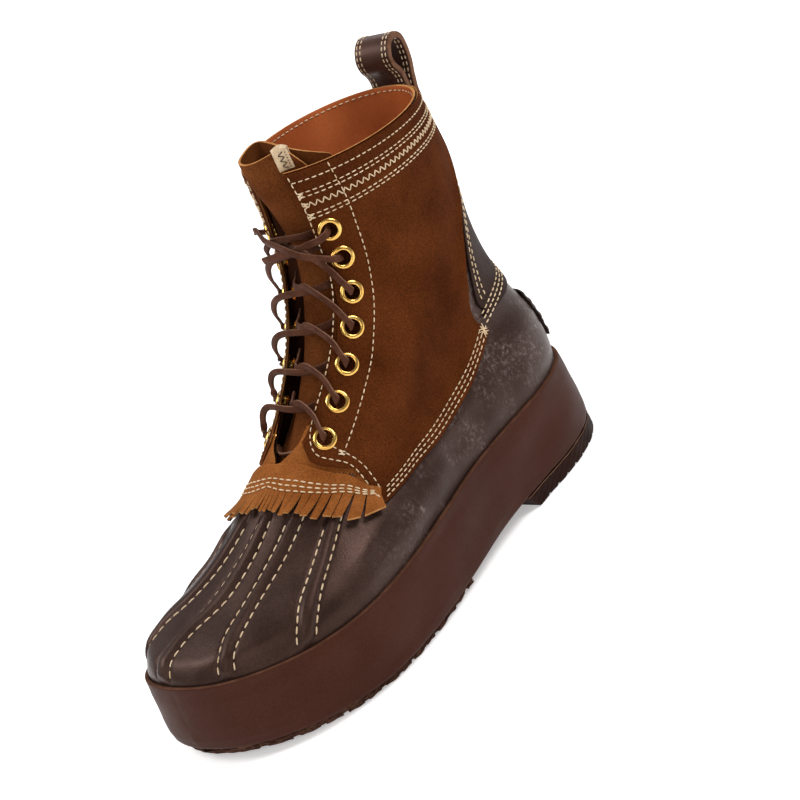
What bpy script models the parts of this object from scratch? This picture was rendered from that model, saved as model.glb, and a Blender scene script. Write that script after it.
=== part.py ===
"""Duck boot, left: leather-wrapped wedge sole, dark oiled vamp, suede quarters, fringed apron and lacing.

Shapes are written in millimetres as along (from the heel to the toe), across (towards the
lateral side) and up, then placed in metres with the toe towards -Y, the lateral side towards +X
and the floor at Z = 0. The upper, its overlays and its cup all come from one section table.
"""
import math

import bmesh
import bpy
import numpy as np
from mathutils import Vector
from mathutils.bvhtree import BVHTree

MM = 0.001
NAME = "duck_boot"

# named sizes, mm
SOLE_LENGTH = 302.0
BALL_WIDTH = 111.0
COLLAR_HEIGHT = 229.0
MIDDLE_ALONG = 144.5
MIDDLE_ACROSS = -2.64
HEEL_LIFT = 9.0
TREAD_THICK = 4.5
TOE_SPRING = 4.5
SPRING_FROM = 235.0
BREAST_TOP = 88.0
BREAST_FLOOR = 82.0
ARCH_END = 200.0
RISE_HEEL = 39.0
RISE_TOE = 38.0
RIM_WALL = 2.1
CLEAR = 0.3
SEAT = 0.15
CUP_DEPTH = 7.0
UPPER_WALL = 1.6
OVERLAY_GAP = 0.42
WELT_GAP = 0.5
OVERLAY = 1.5
TOP_LEVEL = 10.0
EYELET_BORE = 3.7
EYELET_BARREL = 4.0
EYELET_FLANGE = 6.3
EYELET_LIFT = 0.18
LACE_RADIUS = 1.4
UPPER_LEVELS = np.array([0.0, 0.5, 1.0, 1.6, 2.3, 3.0, 3.7, 4.4, 5.1, 5.8, 6.6, 7.5, 8.4, 9.2, 10.0])
ROUND = 36

# turn: degrees round the sole from the heel (0) by the lateral side (90) to the toe (180)
OUTLINE = np.array([
    # turn, lateral half width, medial half width
    (0, 0.0, 0.0), (15, 17.0, -17.0), (30, 29.5, -30.0), (45, 36.5, -37.0), (60, 38.5, -38.0),
    (75, 41.5, -37.0), (90, 48.0, -40.0), (105, 53.5, -49.0), (120, 54.0, -57.0),
    (135, 44.0, -60.0), (150, 26.5, -56.0), (165, 5.0, -43.0), (180, -20.0, -20.0)])
# the widths are graded to the widest row, which is the ball
OUTLINE[:, 1:] *= BALL_WIDTH / np.max(OUTLINE[:, 1] - OUTLINE[:, 2])

# level: 0 feather line in the cup, 1 just above the rim, 5 foot of the throat, 10 collar
SECTIONS = np.array([
    # level, front along, front up, back along, back up, foot lateral, foot medial, oval lateral,
    # oval medial, lean of the back, hug of the platform's curve
    (0.0, 299.6, 40.3, 2.4, 41.3, 1.00, 1.00, 0.0, 0.0, 0.0, 1.0),
    (0.5, 299.2, 48.5, 2.2, 49.5, 1.00, 1.00, 0.0, 0.0, 0.0, 1.0),
    (1.0, 296.0, 54.5, 1.2, 57.0, 1.01, 1.00, 0.0, 0.0, 0.0, 0.8),
    (2.0, 285.0, 60.5, 2.0, 75.0, 0.93, 0.89, 0.0, 0.0, 0.0, 0.3),
    (3.0, 257.0, 69.0, 7.0, 93.0, 0.73, 0.68, 1.0, 0.0, 0.0, 0.0),
    (4.0, 227.0, 83.0, 12.0, 110.0, 0.47, 0.44, 10.5, 9.0, 0.0, 0.0),
    (5.0, 197.0, 103.0, 14.0, 126.0, 0.21, 0.15, 24.0, 19.0, 0.0, 0.0),
    (6.0, 167.0, 125.5, 13.0, 142.0, 0.04, 0.0, 30.5, 28.5, 0.0, 0.0),
    (7.0, 142.0, 149.5, 9.5, 159.0, 0.0, 0.0, 31.7, 32.5, -1.0, 0.0),
    (8.0, 126.0, 177.0, 7.0, 177.0, 0.0, 0.0, 35.0, 36.0, -4.0, 0.0),
    (9.0, 120.0, 203.5, 5.0, 195.0, 0.0, 0.0, 39.0, 39.5, -8.0, 0.0),
    (10.0, 118.0, 229.0, 3.0, 213.0, 0.0, 0.0, 41.0, 42.0, -12.0, 0.0)])
# the lengths along are graded so that the feather line ends inside the rim at the sole's tip
SECTIONS[:, [1, 3]] *= (SOLE_LENGTH - RIM_WALL - CLEAR) / SECTIONS[0, 1]

# the heights are graded over the feather line, so that the front ends at the collar's height
HEIGHT_GRADE = (COLLAR_HEIGHT - SECTIONS[0, 2]) / (SECTIONS[-1, 2] - SECTIONS[0, 2])
SECTIONS[:, [2, 4]] += (HEIGHT_GRADE - 1) * (SECTIONS[:, [2, 4]] - SECTIONS[0, [2, 4]])

# throat opening seen from the front: height, lateral edge, medial edge
THROAT = [(108.5, 5.0, -5.0), (111.0, 9.0, -9.0), (118.0, 11.5, -11.5), (131.0, 14.0, -14.0),
          (144.0, 16.0, -16.0), (161.0, 16.0, -16.0), (178.0, 15.5, -15.5), (191.0, 14.0, -14.0),
          (207.0, 12.0, -12.5), (229.0, 11.0, -13.5), (262.0, 10.0, -14.5)]
THROAT = [(height + (HEIGHT_GRADE - 1) * (height - SECTIONS[0, 2]), lateral, medial)
          for height, lateral, medial in THROAT]

# eyelet centres on the lateral side from the collar down; the medial ones mirror them
EYELETS = [(8.64, 146.5), (8.02, 142.0), (7.36, 137.5), (6.76, 136.5), (6.18, 137.5),
           (5.66, 140.5), (5.18, 144.5)]

# lower edge of the quarter from the back to the throat, then its back edge from the collar down
QUARTER_FOOT = [
    # level, turn
    (2.95, 53.5), (2.70, 58.5), (2.42, 66.0), (2.27, 75.0), (2.24, 83.0), (2.36, 92.0),
    (2.42, 99.0), (2.52, 107.0), (2.84, 109.8), (3.28, 113.5), (3.75, 118.0), (4.20, 125.0),
    (4.55, 136.0), (4.93, 150.5), (5.34, 160.0)]
QUARTER_BACK = [
    # level, turn
    (10.0, 20.0), (9.0, 24.0), (8.0, 31.0), (7.0, 42.0), (6.3, 50.0), (5.4, 55.0), (4.5, 55.5),
    (3.7, 53.5), (3.14, 50.0)]

# fringed apron: share from the middle to the lateral end, then level and turn of three edges
APRON = np.array([
    # share, top level, top turn, seam level, seam turn, fringe level, fringe turn
    (0.0, 5.12, 176.0, 4.78, 176.0, 4.46, 176.0), (0.25, 5.10, 167.0, 4.68, 166.0, 4.36, 166.0),
    (0.45, 4.95, 154.5, 4.50, 153.0, 4.20, 155.0), (0.65, 4.49, 137.0, 4.16, 138.0, 3.84, 141.0),
    (0.82, 4.02, 124.6, 3.72, 125.0, 3.32, 128.0), (0.93, 3.36, 116.6, 3.18, 117.0, 2.84, 118.5),
    (1.0, 2.86, 111.8, 2.76, 112.0, 2.44, 111.0)])
FRINGE_STRIPS = 17

# raised welts on the vamp: level, turn of the medial edge, turn of the lateral edge
WELTS = {
    "vamp_welt_lateral_outer": [(3.40, 134.0, 127.5), (2.8, 136.0, 129.0), (2.2, 138.0, 131.5),
                                (1.5, 138.5, 133.0), (1.0, 139.0, 134.0), (0.62, 139.0, 134.5)],
    "vamp_welt_lateral": [(3.96, 156.0, 147.5), (3.4, 159.0, 150.5), (2.8, 162.0, 155.0),
                          (2.3, 163.5, 157.0), (1.5, 162.5, 158.0), (1.0, 162.5, 158.0),
                          (0.56, 162.0, 157.5)],
    "vamp_welt_middle": [(4.24, 175.0, 168.0), (3.6, 178.0, 169.5), (3.0, 181.0, 172.5),
                         (2.4, 186.0, 180.0), (1.7, 188.0, 182.0), (1.1, 187.5, 181.5),
                         (0.56, 187.0, 181.0)],
    "vamp_welt_medial": [(4.18, 196.0, 187.0), (3.5, 201.0, 190.5), (2.8, 207.0, 198.0),
                         (2.2, 213.0, 205.0), (1.5, 212.0, 205.5), (1.0, 211.5, 205.0),
                         (0.58, 211.0, 205.0)],
    "vamp_welt_medial_outer": [(3.55, 218.5, 211.5), (3.0, 225.0, 217.5), (2.4, 230.0, 223.0),
                               (1.5, 232.0, 226.0), (1.0, 231.5, 226.0), (0.62, 231.0, 226.0)]}

# tongue rows: level, depth on the lateral side, depth at the fold, lateral reach, fold across,
# room inside the fold, share of the width the folded side comes back
TONGUE = np.array([
    (4.30, 2.7, 2.7, 19.0, -17.0, 2.6, 0.10), (4.70, 3.6, 3.6, 21.0, -18.0, 2.6, 0.12),
    (5.10, 7.6, 7.6, 22.0, -19.0, 2.8, 0.15), (6.20, 8.0, 8.0, 24.0, -20.0, 3.0, 0.20),
    (7.20, 8.0, 8.0, 25.0, -20.0, 3.2, 0.28), (8.10, 8.0, 7.6, 25.0, -18.5, 4.5, 0.42),
    (8.80, 7.6, 4.6, 24.0, -15.0, 8.0, 0.62), (9.30, 7.0, 0.5, 23.0, -11.2, 12.0, 0.80),
    (9.70, 6.4, -2.6, 22.5, -11.0, 15.0, 0.92), (10.0, 6.0, -4.2, 22.0, -11.2, 17.0, 1.0),
    (10.35, 5.6, -5.0, 21.5, -11.4, 18.0, 1.0)])
TONGUE_THICK = 1.4

# heel patch and back strap: level, half width in degrees of turn
HEEL_PATCH = [(0.92, 15.0), (1.15, 17.5), (1.4, 15.5), (1.65, 18.5), (1.9, 16.0), (2.15, 18.5),
              (2.4, 15.5), (2.65, 17.0), (2.85, 12.0)]
BACK_STRAP = [(3.25, 30.0), (3.35, 42.0), (3.7, 47.0), (4.5, 49.0), (5.4, 48.0), (6.3, 42.5),
              (7.0, 34.5), (8.0, 25.0), (9.0, 19.0), (10.0, 15.5), (10.4, 15.0)]

# pull loop in the plane square to the collar: out from the rim, up from the rim
PULL_LOOP = [(4.05, -13.0), (4.05, -4.0), (4.0, 2.0), (2.4, 7.0), (-0.8, 12.0), (-1.6, 17.5),
             (1.4, 22.5), (7.0, 24.8), (12.4, 21.8), (14.2, 14.5), (13.8, 6.0), (11.4, -2.0),
             (9.4, -8.0), (9.2, -13.5)]
PULL_LOOP_TURN = 350.0
PULL_LOOP_HALF_WIDTH = 11.0


def smooth_rows(table, where):
    """Smooth curve through the rows of a table; its first column is the place on the curve."""
    place, value = table[:, 0], table[:, 1:]
    slope = np.gradient(value, place, axis=0)
    where = np.clip(np.atleast_1d(np.asarray(where, float)), place[0], place[-1])
    row = np.clip(np.searchsorted(place, where, side="right") - 1, 0, len(place) - 2)
    step = (place[row + 1] - place[row])[:, None]
    part = (where - place[row])[:, None] / step
    ease = 3 * part**2 - 2 * part**3
    return (value[row] * (1 - ease) + value[row + 1] * ease
            + slope[row] * step * (part**3 - 2 * part**2 + part)
            + slope[row + 1] * step * (part**3 - part**2))


def platform_bottom(along):
    """Underside of the platform: flat under the heel, arched, flat at the ball, toe spring."""
    arch = np.clip((along - BREAST_TOP) / (ARCH_END - BREAST_TOP), 0, 1)
    arch = arch * arch * (3 - 2 * arch)
    toe = np.clip((along - SPRING_FROM) / (SOLE_LENGTH - SPRING_FROM), 0, 1)
    return HEEL_LIFT + (TREAD_THICK - HEEL_LIFT) * arch + TOE_SPRING * toe**2


def platform_top(along):
    rise = RISE_HEEL + (RISE_TOE - RISE_HEEL) * along / SOLE_LENGTH
    return platform_bottom(along) + rise


def dip(along):
    """How far the platform's top edge sags below the straight line from heel to toe."""
    heel, toe = platform_top(0.0), platform_top(SOLE_LENGTH)
    return platform_top(along) - heel - (toe - heel) * along / SOLE_LENGTH


def skin(level, turn):
    """Outer face of the upper as (along, across, up) in mm."""
    level, turn = np.broadcast_arrays(np.asarray(level, float), np.asarray(turn, float))
    shape = level.shape
    above = np.maximum(level.ravel() - TOP_LEVEL, 0.0)
    level, turn = np.minimum(level.ravel(), TOP_LEVEL), turn.ravel() % 360.0
    lateral = turn <= 180.0
    half = np.where(lateral, turn, 360.0 - turn)
    (front_along, front_up, back_along, back_up, foot_lateral, foot_medial, oval_lateral,
     oval_medial, lean, hug) = smooth_rows(SECTIONS, level).T
    outline = smooth_rows(OUTLINE, half)
    sine = np.sin(np.radians(half))
    share = (1 - np.cos(np.radians(half))) / 2
    inset = (RIM_WALL + CLEAR) * sine
    over_toe = np.clip((turn - 160.0) / 40.0, 0, 1)
    over_toe = over_toe * over_toe * (3 - 2 * over_toe)
    fill = foot_lateral + (foot_medial - foot_lateral) * over_toe
    foot = np.where(lateral, outline[:, 0] - inset, outline[:, 1] + inset) * fill
    oval = sine * np.where(lateral, oval_lateral, -oval_medial)
    along = back_along + (front_along - back_along) * share
    up = back_up + (front_up - back_up) * share + hug * dip(along)
    across = foot + oval + lean * (1 - share)
    return np.stack([along - 2 * above, across, up + 25 * above], 1).reshape(shape + (3,))


def shell(level, turn, out):
    """Points held off the outer face of the upper by out mm."""
    level, turn, out = np.broadcast_arrays(*(np.asarray(v, float) for v in (level, turn, out)))
    rise = skin(np.minimum(level + 0.02, 10.0), turn) - skin(np.clip(level - 0.02, 0, 9.98), turn)
    across = skin(level, turn + 0.5) - skin(level, turn - 0.5)
    normal = np.cross(rise, across)
    normal /= np.linalg.norm(normal, axis=-1, keepdims=True)
    return skin(level, turn) + normal * out[..., None]


def front_turn(level, across):
    """Turn at which the front of a section reaches a distance across."""
    turns = np.linspace(120.0, 240.0, 241)
    reach = skin(level, turns)[:, 1]
    return float(np.interp(-across, -reach, turns))


def at_throat(level, across, out):
    return shell(level, front_turn(level, across), out)


def ring_turns(first=0.0, last=360.0):
    count = int(round(ROUND * (last - first) / 360.0))
    return np.linspace(first, last, count + 1)[:-1] if last - first == 360.0 else np.linspace(
        first, last, count + 1)


def outline_at(turn, grow=0.0):
    """Sole outline as (along, across), moved outward by grow mm."""
    def edge(angle):
        angle = angle % 360.0
        half = np.where(angle <= 180.0, angle, 360.0 - angle)
        rows = smooth_rows(OUTLINE, half)
        along = SOLE_LENGTH * (1 - np.cos(np.radians(half))) / 2
        return np.stack([along, np.where(angle <= 180.0, rows[:, 0], rows[:, 1])], 1)
    turn = np.atleast_1d(np.asarray(turn, float))
    tangent = edge(turn + 1.0) - edge(turn - 1.0)
    tangent /= np.linalg.norm(tangent, axis=1, keepdims=True)
    return edge(turn) + np.stack([-tangent[:, 1], tangent[:, 0]], 1) * grow


def placed(point):
    """Metres in the shared frame from (along, across, up) in mm."""
    point = np.asarray(point, float)
    return np.stack([point[..., 1] - MIDDLE_ACROSS, MIDDLE_ALONG - point[..., 0],
                     point[..., 2]], -1) * MM


def unplaced(point):
    """The same point as (along, across, up) in mm."""
    sideways, ahead, up = np.asarray(point, float) / MM
    return np.array([MIDDLE_ALONG - ahead, sideways + MIDDLE_ACROSS, up])


def clear_scene():
    for thing in list(bpy.data.objects):
        bpy.data.objects.remove(thing, do_unlink=True)
    for mesh in list(bpy.data.meshes):
        bpy.data.meshes.remove(mesh)
    for group in list(bpy.data.collections):
        bpy.data.collections.remove(group)


def new_collection(name, cutters=False):
    group = bpy.data.collections.new(name)
    bpy.context.scene.collection.children.link(group)
    group.hide_render = cutters
    return group


def material(name, colour, rough, metal=0.0):
    look = bpy.data.materials.new(name)
    look.use_nodes = True
    node = look.node_tree.nodes["Principled BSDF"]
    node.inputs["Base Color"].default_value = (*colour, 1.0)
    node.inputs["Roughness"].default_value = rough
    node.inputs["Metallic"].default_value = metal
    look.diffuse_color = (*colour, 1.0)
    return look


def solid(name, points, faces, look=None, group=None, smooth=True):
    """Closed mesh object from points in mm."""
    mesh = bpy.data.meshes.new(name)
    mesh.from_pydata([tuple(p) for p in placed(np.asarray(points, float))], [], faces)
    work = bmesh.new()
    work.from_mesh(mesh)
    bmesh.ops.remove_doubles(work, verts=work.verts, dist=0.00001)
    bmesh.ops.recalc_face_normals(work, faces=work.faces)
    work.to_mesh(mesh)
    work.free()
    thing = bpy.data.objects.new(name, mesh)
    (group or PARTS).objects.link(thing)
    if look is not None:
        mesh.materials.append(look)
    if smooth:
        mesh.shade_smooth()
    return thing


def slab(name, outer, inner, look, wrap=False):
    """Closed sheet between two grids of the same size; wrap joins the last column to the first."""
    rows, columns = outer.shape[:2]
    count = rows * columns
    points = np.concatenate([outer.reshape(-1, 3), inner.reshape(-1, 3)])

    def at(row, column, side):
        return side * count + row * columns + column % columns
    faces = []
    for row in range(rows - 1):
        for column in range(columns if wrap else columns - 1):
            for side in (0, 1):
                near, far = at(row, column, side), at(row + 1, column + 1, side)
                for last in ([near, at(row, column + 1, side), far],
                             [near, far, at(row + 1, column, side)]):
                    faces.append(last if side == 0 else last[::-1])
    for row in (0, rows - 1):
        for column in range(columns if wrap else columns - 1):
            faces.append([at(row, column, 0), at(row, column, 1),
                          at(row, column + 1, 1), at(row, column + 1, 0)])
    if not wrap:
        for column in (0, columns - 1):
            for row in range(rows - 1):
                faces.append([at(row, column, 0), at(row + 1, column, 0),
                              at(row + 1, column, 1), at(row, column, 1)])
    return solid(name, points, faces, look)


def stack(name, rings, look, smooth=True):
    """Closed form through rings of equal count, each running out along one side and back."""
    size = len(rings[0])
    points = np.concatenate(rings)
    faces = []
    for level in range(len(rings) - 1):
        for k in range(size):
            a, b = level * size + k, level * size + (k + 1) % size
            faces.append([a, b, b + size, a + size])
    for base in (0, (len(rings) - 1) * size):
        first, last = 0, size - 1
        if size % 2 == 0 and name != "heel_block" and name != "forefoot_tread":
            faces.append([base, base + 1, base + size - 1])
            first, last = 1, size - 1
        while last - first > 2:
            faces.append([base + first, base + first + 1, base + last - 1, base + last])
            first, last = first + 1, last - 1
        if last - first == 2:
            faces.append([base + first, base + first + 1, base + last])
    return solid(name, points, faces, look, smooth=smooth)


def cut(thing, cutter, solver="EXACT", operation="DIFFERENCE"):
    step = thing.modifiers.new("cut", "BOOLEAN")
    step.operation = operation
    step.object = cutter
    step.solver = solver
    bpy.context.view_layer.update()
    deps = bpy.context.evaluated_depsgraph_get()
    mesh = bpy.data.meshes.new_from_object(thing.evaluated_get(deps))
    thing.modifiers.clear()
    old = thing.data
    thing.data = mesh
    mesh.name = thing.name
    bpy.data.meshes.remove(old)


def boxes(name, frames):
    """Cutter of separate boxes, each given by its centre, three half axes, all in mm."""
    points, faces = [], []
    for centre, one, two, three in frames:
        base = len(points)
        for a in (-1, 1):
            for b in (-1, 1):
                for c in (-1, 1):
                    points.append(np.asarray(centre) + a * np.asarray(one)
                                  + b * np.asarray(two) + c * np.asarray(three))
        for quad in ((0, 1, 3, 2), (4, 6, 7, 5), (0, 4, 5, 1), (2, 3, 7, 6), (0, 2, 6, 4),
                     (1, 5, 7, 3)):
            faces.append([base + k for k in quad])
    thing = solid(name, points, faces, group=CUTTERS, smooth=False)
    thing.display_type = "WIRE"
    thing.hide_render = True
    return thing


def frame_at(level, turn, out):
    """Centre on the shell, the outward direction and two directions in the face."""
    centre = shell(level, turn, out)
    normal = shell(level, turn, out + 1.0) - centre
    normal /= np.linalg.norm(normal)
    side = shell(level, turn + 1.0, out) - centre
    side -= normal * side.dot(normal)
    side /= np.linalg.norm(side)
    return centre, normal, side, np.cross(normal, side)


def eyelet_seats(quarters):
    """Where each eyelet lies on its quarter: centre of the flange's seat and three directions."""
    seats = []
    for side, quarter in quarters.items():
        work = bmesh.new()
        work.from_mesh(quarter.data)
        tree = BVHTree.FromBMesh(work)
        work.free()
        for number, (level, turn) in enumerate(EYELETS, 1):
            if side == "medial":
                turn = 360.0 - turn
            centre, normal, spoke, up = frame_at(level, turn, OVERLAY_GAP + OVERLAY)
            for _ in range(2):
                touch = []
                for radius in (4.4, EYELET_FLANGE):
                    for angle in np.radians(np.arange(0, 360, 20)):
                        place = centre + (spoke * math.cos(angle) + up * math.sin(angle)) * radius
                        start = placed(place + normal * 8.0)
                        found = tree.ray_cast(Vector(start), Vector(placed(place) - start))[0]
                        if found is not None:
                            touch.append(unplaced(found))
                touch = np.array(touch)
                fit = np.linalg.svd(touch - touch.mean(0))[2][2]
                normal = fit if fit.dot(normal) > 0 else -fit
                spoke -= normal * spoke.dot(normal)
                spoke /= np.linalg.norm(spoke)
                up = np.cross(normal, spoke)
            lift = ((touch - centre) @ normal).max()
            seats.append((side, number, centre + normal * lift, normal, spoke, up))
    return seats


def turned(name, centre, normal, side, profile, steps, look):
    """Ring made by spinning a closed profile of (radius, height) about the normal."""
    up = np.cross(normal, side)
    points, faces = [], []
    count = len(profile)
    for k in range(steps):
        angle = 2 * math.pi * k / steps
        spoke = side * math.cos(angle) + up * math.sin(angle)
        points += [centre + spoke * radius + normal * height for radius, height in profile]
    for k in range(steps):
        for j in range(count):
            a, b = k * count, ((k + 1) % steps) * count
            faces.append([a + j, a + (j + 1) % count, b + (j + 1) % count, b + j])
    return solid(name, points, faces, look)


def rod_cutter(name, seats, radius, below, above, steps=9):
    """Cutter of round rods through the eyelet seats."""
    points, faces = [], []
    for centre, normal, side, up in seats:
        base = len(points)
        for height in (-below, above):
            for k in range(steps):
                angle = 2 * math.pi * k / steps
                points.append(centre + normal * height
                              + (side * math.cos(angle) + up * math.sin(angle)) * radius)
        faces.append([base + k for k in range(steps)][::-1])
        faces.append([base + steps + k for k in range(steps)])
        for k in range(steps):
            a, b = base + k, base + (k + 1) % steps
            faces.append([a, b, b + steps, a + steps])
    thing = solid(name, points, faces, group=CUTTERS, smooth=False)
    thing.display_type = "WIRE"
    thing.hide_render = True
    return thing


def prism(name, outline, reach, from_behind=False):
    """Cutter with an outline of (along, up) run across, or of (across, up) run along."""
    points = []
    for far in reach:
        points += [(far, a, b) if from_behind else (a, far, b) for a, b in outline]
    size = len(outline)
    faces = [list(range(size)), list(range(size, 2 * size))[::-1]]
    for k in range(size):
        j = (k + 1) % size
        faces.append([k, j, j + size, k + size])
    thing = solid(name, points, faces, group=CUTTERS, smooth=False)
    thing.display_type = "WIRE"
    thing.hide_render = True
    return thing


def make_platform():
    turns = ring_turns()
    rings = []
    for grow, base, lift in ((-1.6, "bottom", 0.0), (1.1, "bottom", 1.6), (1.4, "bottom", 6.0),
                             (0.1, "top", -1.4), (-0.5, "top", 0.0)):
        edge = outline_at(turns, grow)
        height = platform_bottom(edge[:, 0]) if base == "bottom" else platform_top(edge[:, 0])
        rings.append(np.column_stack([edge, height + lift]))
    seat = skin(0.0, turns)[:, :2]
    tangent = np.roll(seat, -1, 0) - np.roll(seat, 1, 0)
    tangent /= np.linalg.norm(tangent, axis=1, keepdims=True)
    seat = seat + np.stack([-tangent[:, 1], tangent[:, 0]], 1) * CLEAR
    for lift in (0.0, -CUP_DEPTH):
        rings.append(np.column_stack([seat, platform_top(seat[:, 0]) + lift]))
    return stack("platform", rings, WRAP)


def make_insole():
    turns = ring_turns()
    edge = shell(0.12, turns, -UPPER_WALL - CLEAR)[:, :2]
    rings = []
    for inward, lift in ((0.0, SEAT), (0.0, 3.0), (0.8, 3.4)):
        centre = np.array([SOLE_LENGTH / 2, 0.0])
        toward = centre - edge
        toward /= np.linalg.norm(toward, axis=1, keepdims=True)
        ring = edge + toward * inward
        rings.append(np.column_stack([ring, platform_top(ring[:, 0]) - CUP_DEPTH + lift]))
    return stack("insole", rings, LINING)


def make_heel_block():
    rings = []
    for along, grow, height in ((BREAST_FLOOR, 0.6, 0.0), (BREAST_FLOOR + 0.6, 1.0, 1.2),
                                (BREAST_TOP, 0.6, HEEL_LIFT - SEAT)):
        top = math.degrees(math.acos(1 - 2 * along / SOLE_LENGTH))
        turns = np.linspace(-top, top, 21)
        edge = outline_at(turns, grow)
        rings.append(np.column_stack([edge, np.full(len(edge), height)]))
    block = stack("heel_block", rings, HEEL)
    grooves = [((along, 0, 0), (1.3, 0, 0), (0, 60, 0), (0, 0, 2.2)) for along in
               np.arange(9.0, 80.0, 9.0)]
    cut(block, boxes("heel_grooves", grooves))
    return block


def make_tread():
    start, end = 150.0, 298.5
    top = math.degrees(math.acos(1 - 2 * start / SOLE_LENGTH))
    turns = np.linspace(top, 360.0 - top, 37)
    rings = []
    for grow, base, lift in ((-3.2, "low", 0.0), (-2.6, "low", 1.2), (-2.6, "high", -SEAT)):
        edge = outline_at(turns, grow)
        under = platform_bottom(edge[:, 0])
        height = under - TREAD_THICK if base == "low" else under
        rings.append(np.column_stack([edge, height + lift]))
    tread = stack("forefoot_tread", rings, RUBBER)
    grooves = []
    for along in np.arange(158.0, 296.0, 11.0):
        slope = (platform_bottom(along + 1.0) - platform_bottom(along - 1.0)) / 2
        low = platform_bottom(along) - TREAD_THICK
        one = np.array([1.0, 0, slope]) / math.hypot(1.0, slope)
        three = np.array([-one[2], 0, one[0]])
        grooves.append(((along, 0, low), one * 1.4, (0, 80, 0), three * 2.1))
    cut(tread, boxes("tread_grooves", grooves))
    return tread


def make_upper(throat):
    turns = ring_turns()
    grid = np.meshgrid(UPPER_LEVELS, turns, indexing="ij")
    upper = slab("upper", shell(*grid, 0.0), shell(*grid, -UPPER_WALL), DARK, wrap=True)
    cut(upper, throat, solver="MANIFOLD")
    return upper


def overlay(name, turns, low, high, look, region, reach, flip=False):
    """Sheet on the upper's own grid, kept inside a region seen from the side or from behind."""
    levels = UPPER_LEVELS[UPPER_LEVELS > 1.5]
    grid = np.meshgrid(levels, turns, indexing="ij")
    sheet = slab(name, shell(*grid, high), shell(*grid, low), look)
    cut(sheet, prism(name + "_region", region, reach, flip), operation="INTERSECT")
    return sheet


def make_quarter(side, throat):
    low = 0.0 if side == "lateral" else 180.0
    turns = ring_turns(low, low + 180.0)

    def seen(level, turn):
        place = skin(level, turn if side == "lateral" else 360.0 - turn)
        return place[0], place[2]
    edge = [seen(*row) for row in QUARTER_FOOT]
    clear_top = COLLAR_HEIGHT + 33.0
    edge += [(230.0, 118.0), (230.0, clear_top), (4.0, clear_top)]
    edge += [seen(*row) for row in QUARTER_BACK]
    reach = (-6.0, 90.0) if side == "lateral" else (-90.0, 6.0)
    quarter = overlay("quarter_" + side, turns, OVERLAY_GAP, OVERLAY_GAP + OVERLAY, SUEDE,
                      edge, reach)
    cut(quarter, throat)
    return quarter


def apron_rows(share):
    """Level and turn of the apron's top edge, seam and fringe line; share -1 medial, 1 lateral."""
    rows = smooth_rows(APRON, abs(share))[0]
    if share >= 0:
        return rows
    flip = rows.copy()
    flip[1::2] = 360.0 - rows[1::2] - 8.0 * (1 - abs(share))
    return flip


def make_apron():
    """Apron sheet with the fringe strips drawn from its lower edge."""
    thick, clear, shares = 1.2, 0.55, []
    for k in range(FRINGE_STRIPS):
        low = -1 + 2 * k / FRINGE_STRIPS
        high = -1 + 2 * (k + 1) / FRINGE_STRIPS
        shares += [low + 0.012, high - 0.012]
    shares[0], shares[-1] = -1.0, 1.0
    outer, inner = [], []
    for share in shares:
        top_level, top_turn, seam_level, seam_turn, tip_level, tip_turn = apron_rows(share)
        places = [(top_level, top_turn), ((top_level + seam_level) / 2, (top_turn + seam_turn) / 2),
                  (seam_level, seam_turn)]
        outer.append([shell(level, turn, clear + thick) for level, turn in places])
        inner.append([shell(level, turn, clear) for level, turn in places])
        middle = ((seam_level + tip_level) / 2, (seam_turn + tip_turn) / 2)
        for place, lift in ((middle, 0.6), ((tip_level, tip_turn), 1.6)):
            outer[-1].append(shell(place[0], place[1], clear + thick + lift))
            inner[-1].append(shell(place[0], place[1], clear + lift))
    outer, inner = np.array(outer), np.array(inner)
    columns, rows = outer.shape[:2]
    points = np.concatenate([outer.reshape(-1, 3), inner.reshape(-1, 3)])
    count = columns * rows

    def at(column, row, side):
        return side * count + column * rows + row
    faces = []
    for column in range(columns - 1):
        strip = column % 2 == 0
        last = rows - 1 if strip else 2
        for row in range(last):
            for side in (0, 1):
                quad = [at(column, row, side), at(column + 1, row, side),
                        at(column + 1, row + 1, side), at(column, row + 1, side)]
                faces.append(quad if side else quad[::-1])
        for row in (0, last):
            faces.append([at(column, row, 0), at(column, row, 1), at(column + 1, row, 1),
                          at(column + 1, row, 0)])
    for column in range(columns):
        first = 0 if column in (0, columns - 1) else 2
        for row in range(first, rows - 1):
            faces.append([at(column, row, 0), at(column, row + 1, 0), at(column, row + 1, 1),
                          at(column, row, 1)])
    return solid("fringed_apron", points, faces, SUEDE_LIGHT)


def tongue_point(level, column, off=0.0):
    """Middle of the tongue sheet; column 0 lateral edge, 4 the fold, 7 end of the folded side."""
    (depth_lateral, depth_fold, reach, fold, room, back) = smooth_rows(TONGUE, level)[0]
    columns = np.array([
        # column, across, share of the fold's depth, set back
        (0.0, reach, 0.0, 0.0), (1.0, reach * 0.62, 0.0, 0.0), (2.0, reach * 0.22, 0.45, 0.0),
        (3.0, fold * 0.35, 0.9, 0.0), (4.0, fold * 0.9, 1.0, 0.1), (4.6, fold, 1.0, 0.5),
        (5.2, fold * 0.9, 1.0, 0.95), (6.2, fold + (reach - fold) * back * 0.5, 0.9, 1.05),
        (7.2, fold + (reach - fold) * back * 0.98, 0.5, 1.0)])
    across, share, set_back = smooth_rows(columns, column)[0]
    depth = depth_lateral + (depth_fold - depth_lateral) * share
    point = at_throat(level, across, -depth)
    line = skin(min(level, TOP_LEVEL), 0.0) - skin(min(level, TOP_LEVEL), 180.0)
    line[1] = 0.0
    return point + line / np.linalg.norm(line) * room * set_back


TONGUE_COLUMNS = np.array([0.0, 0.7, 1.4, 2.2, 3.0, 3.7, 4.25, 4.6, 4.95, 5.6, 6.4, 7.2])


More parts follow.
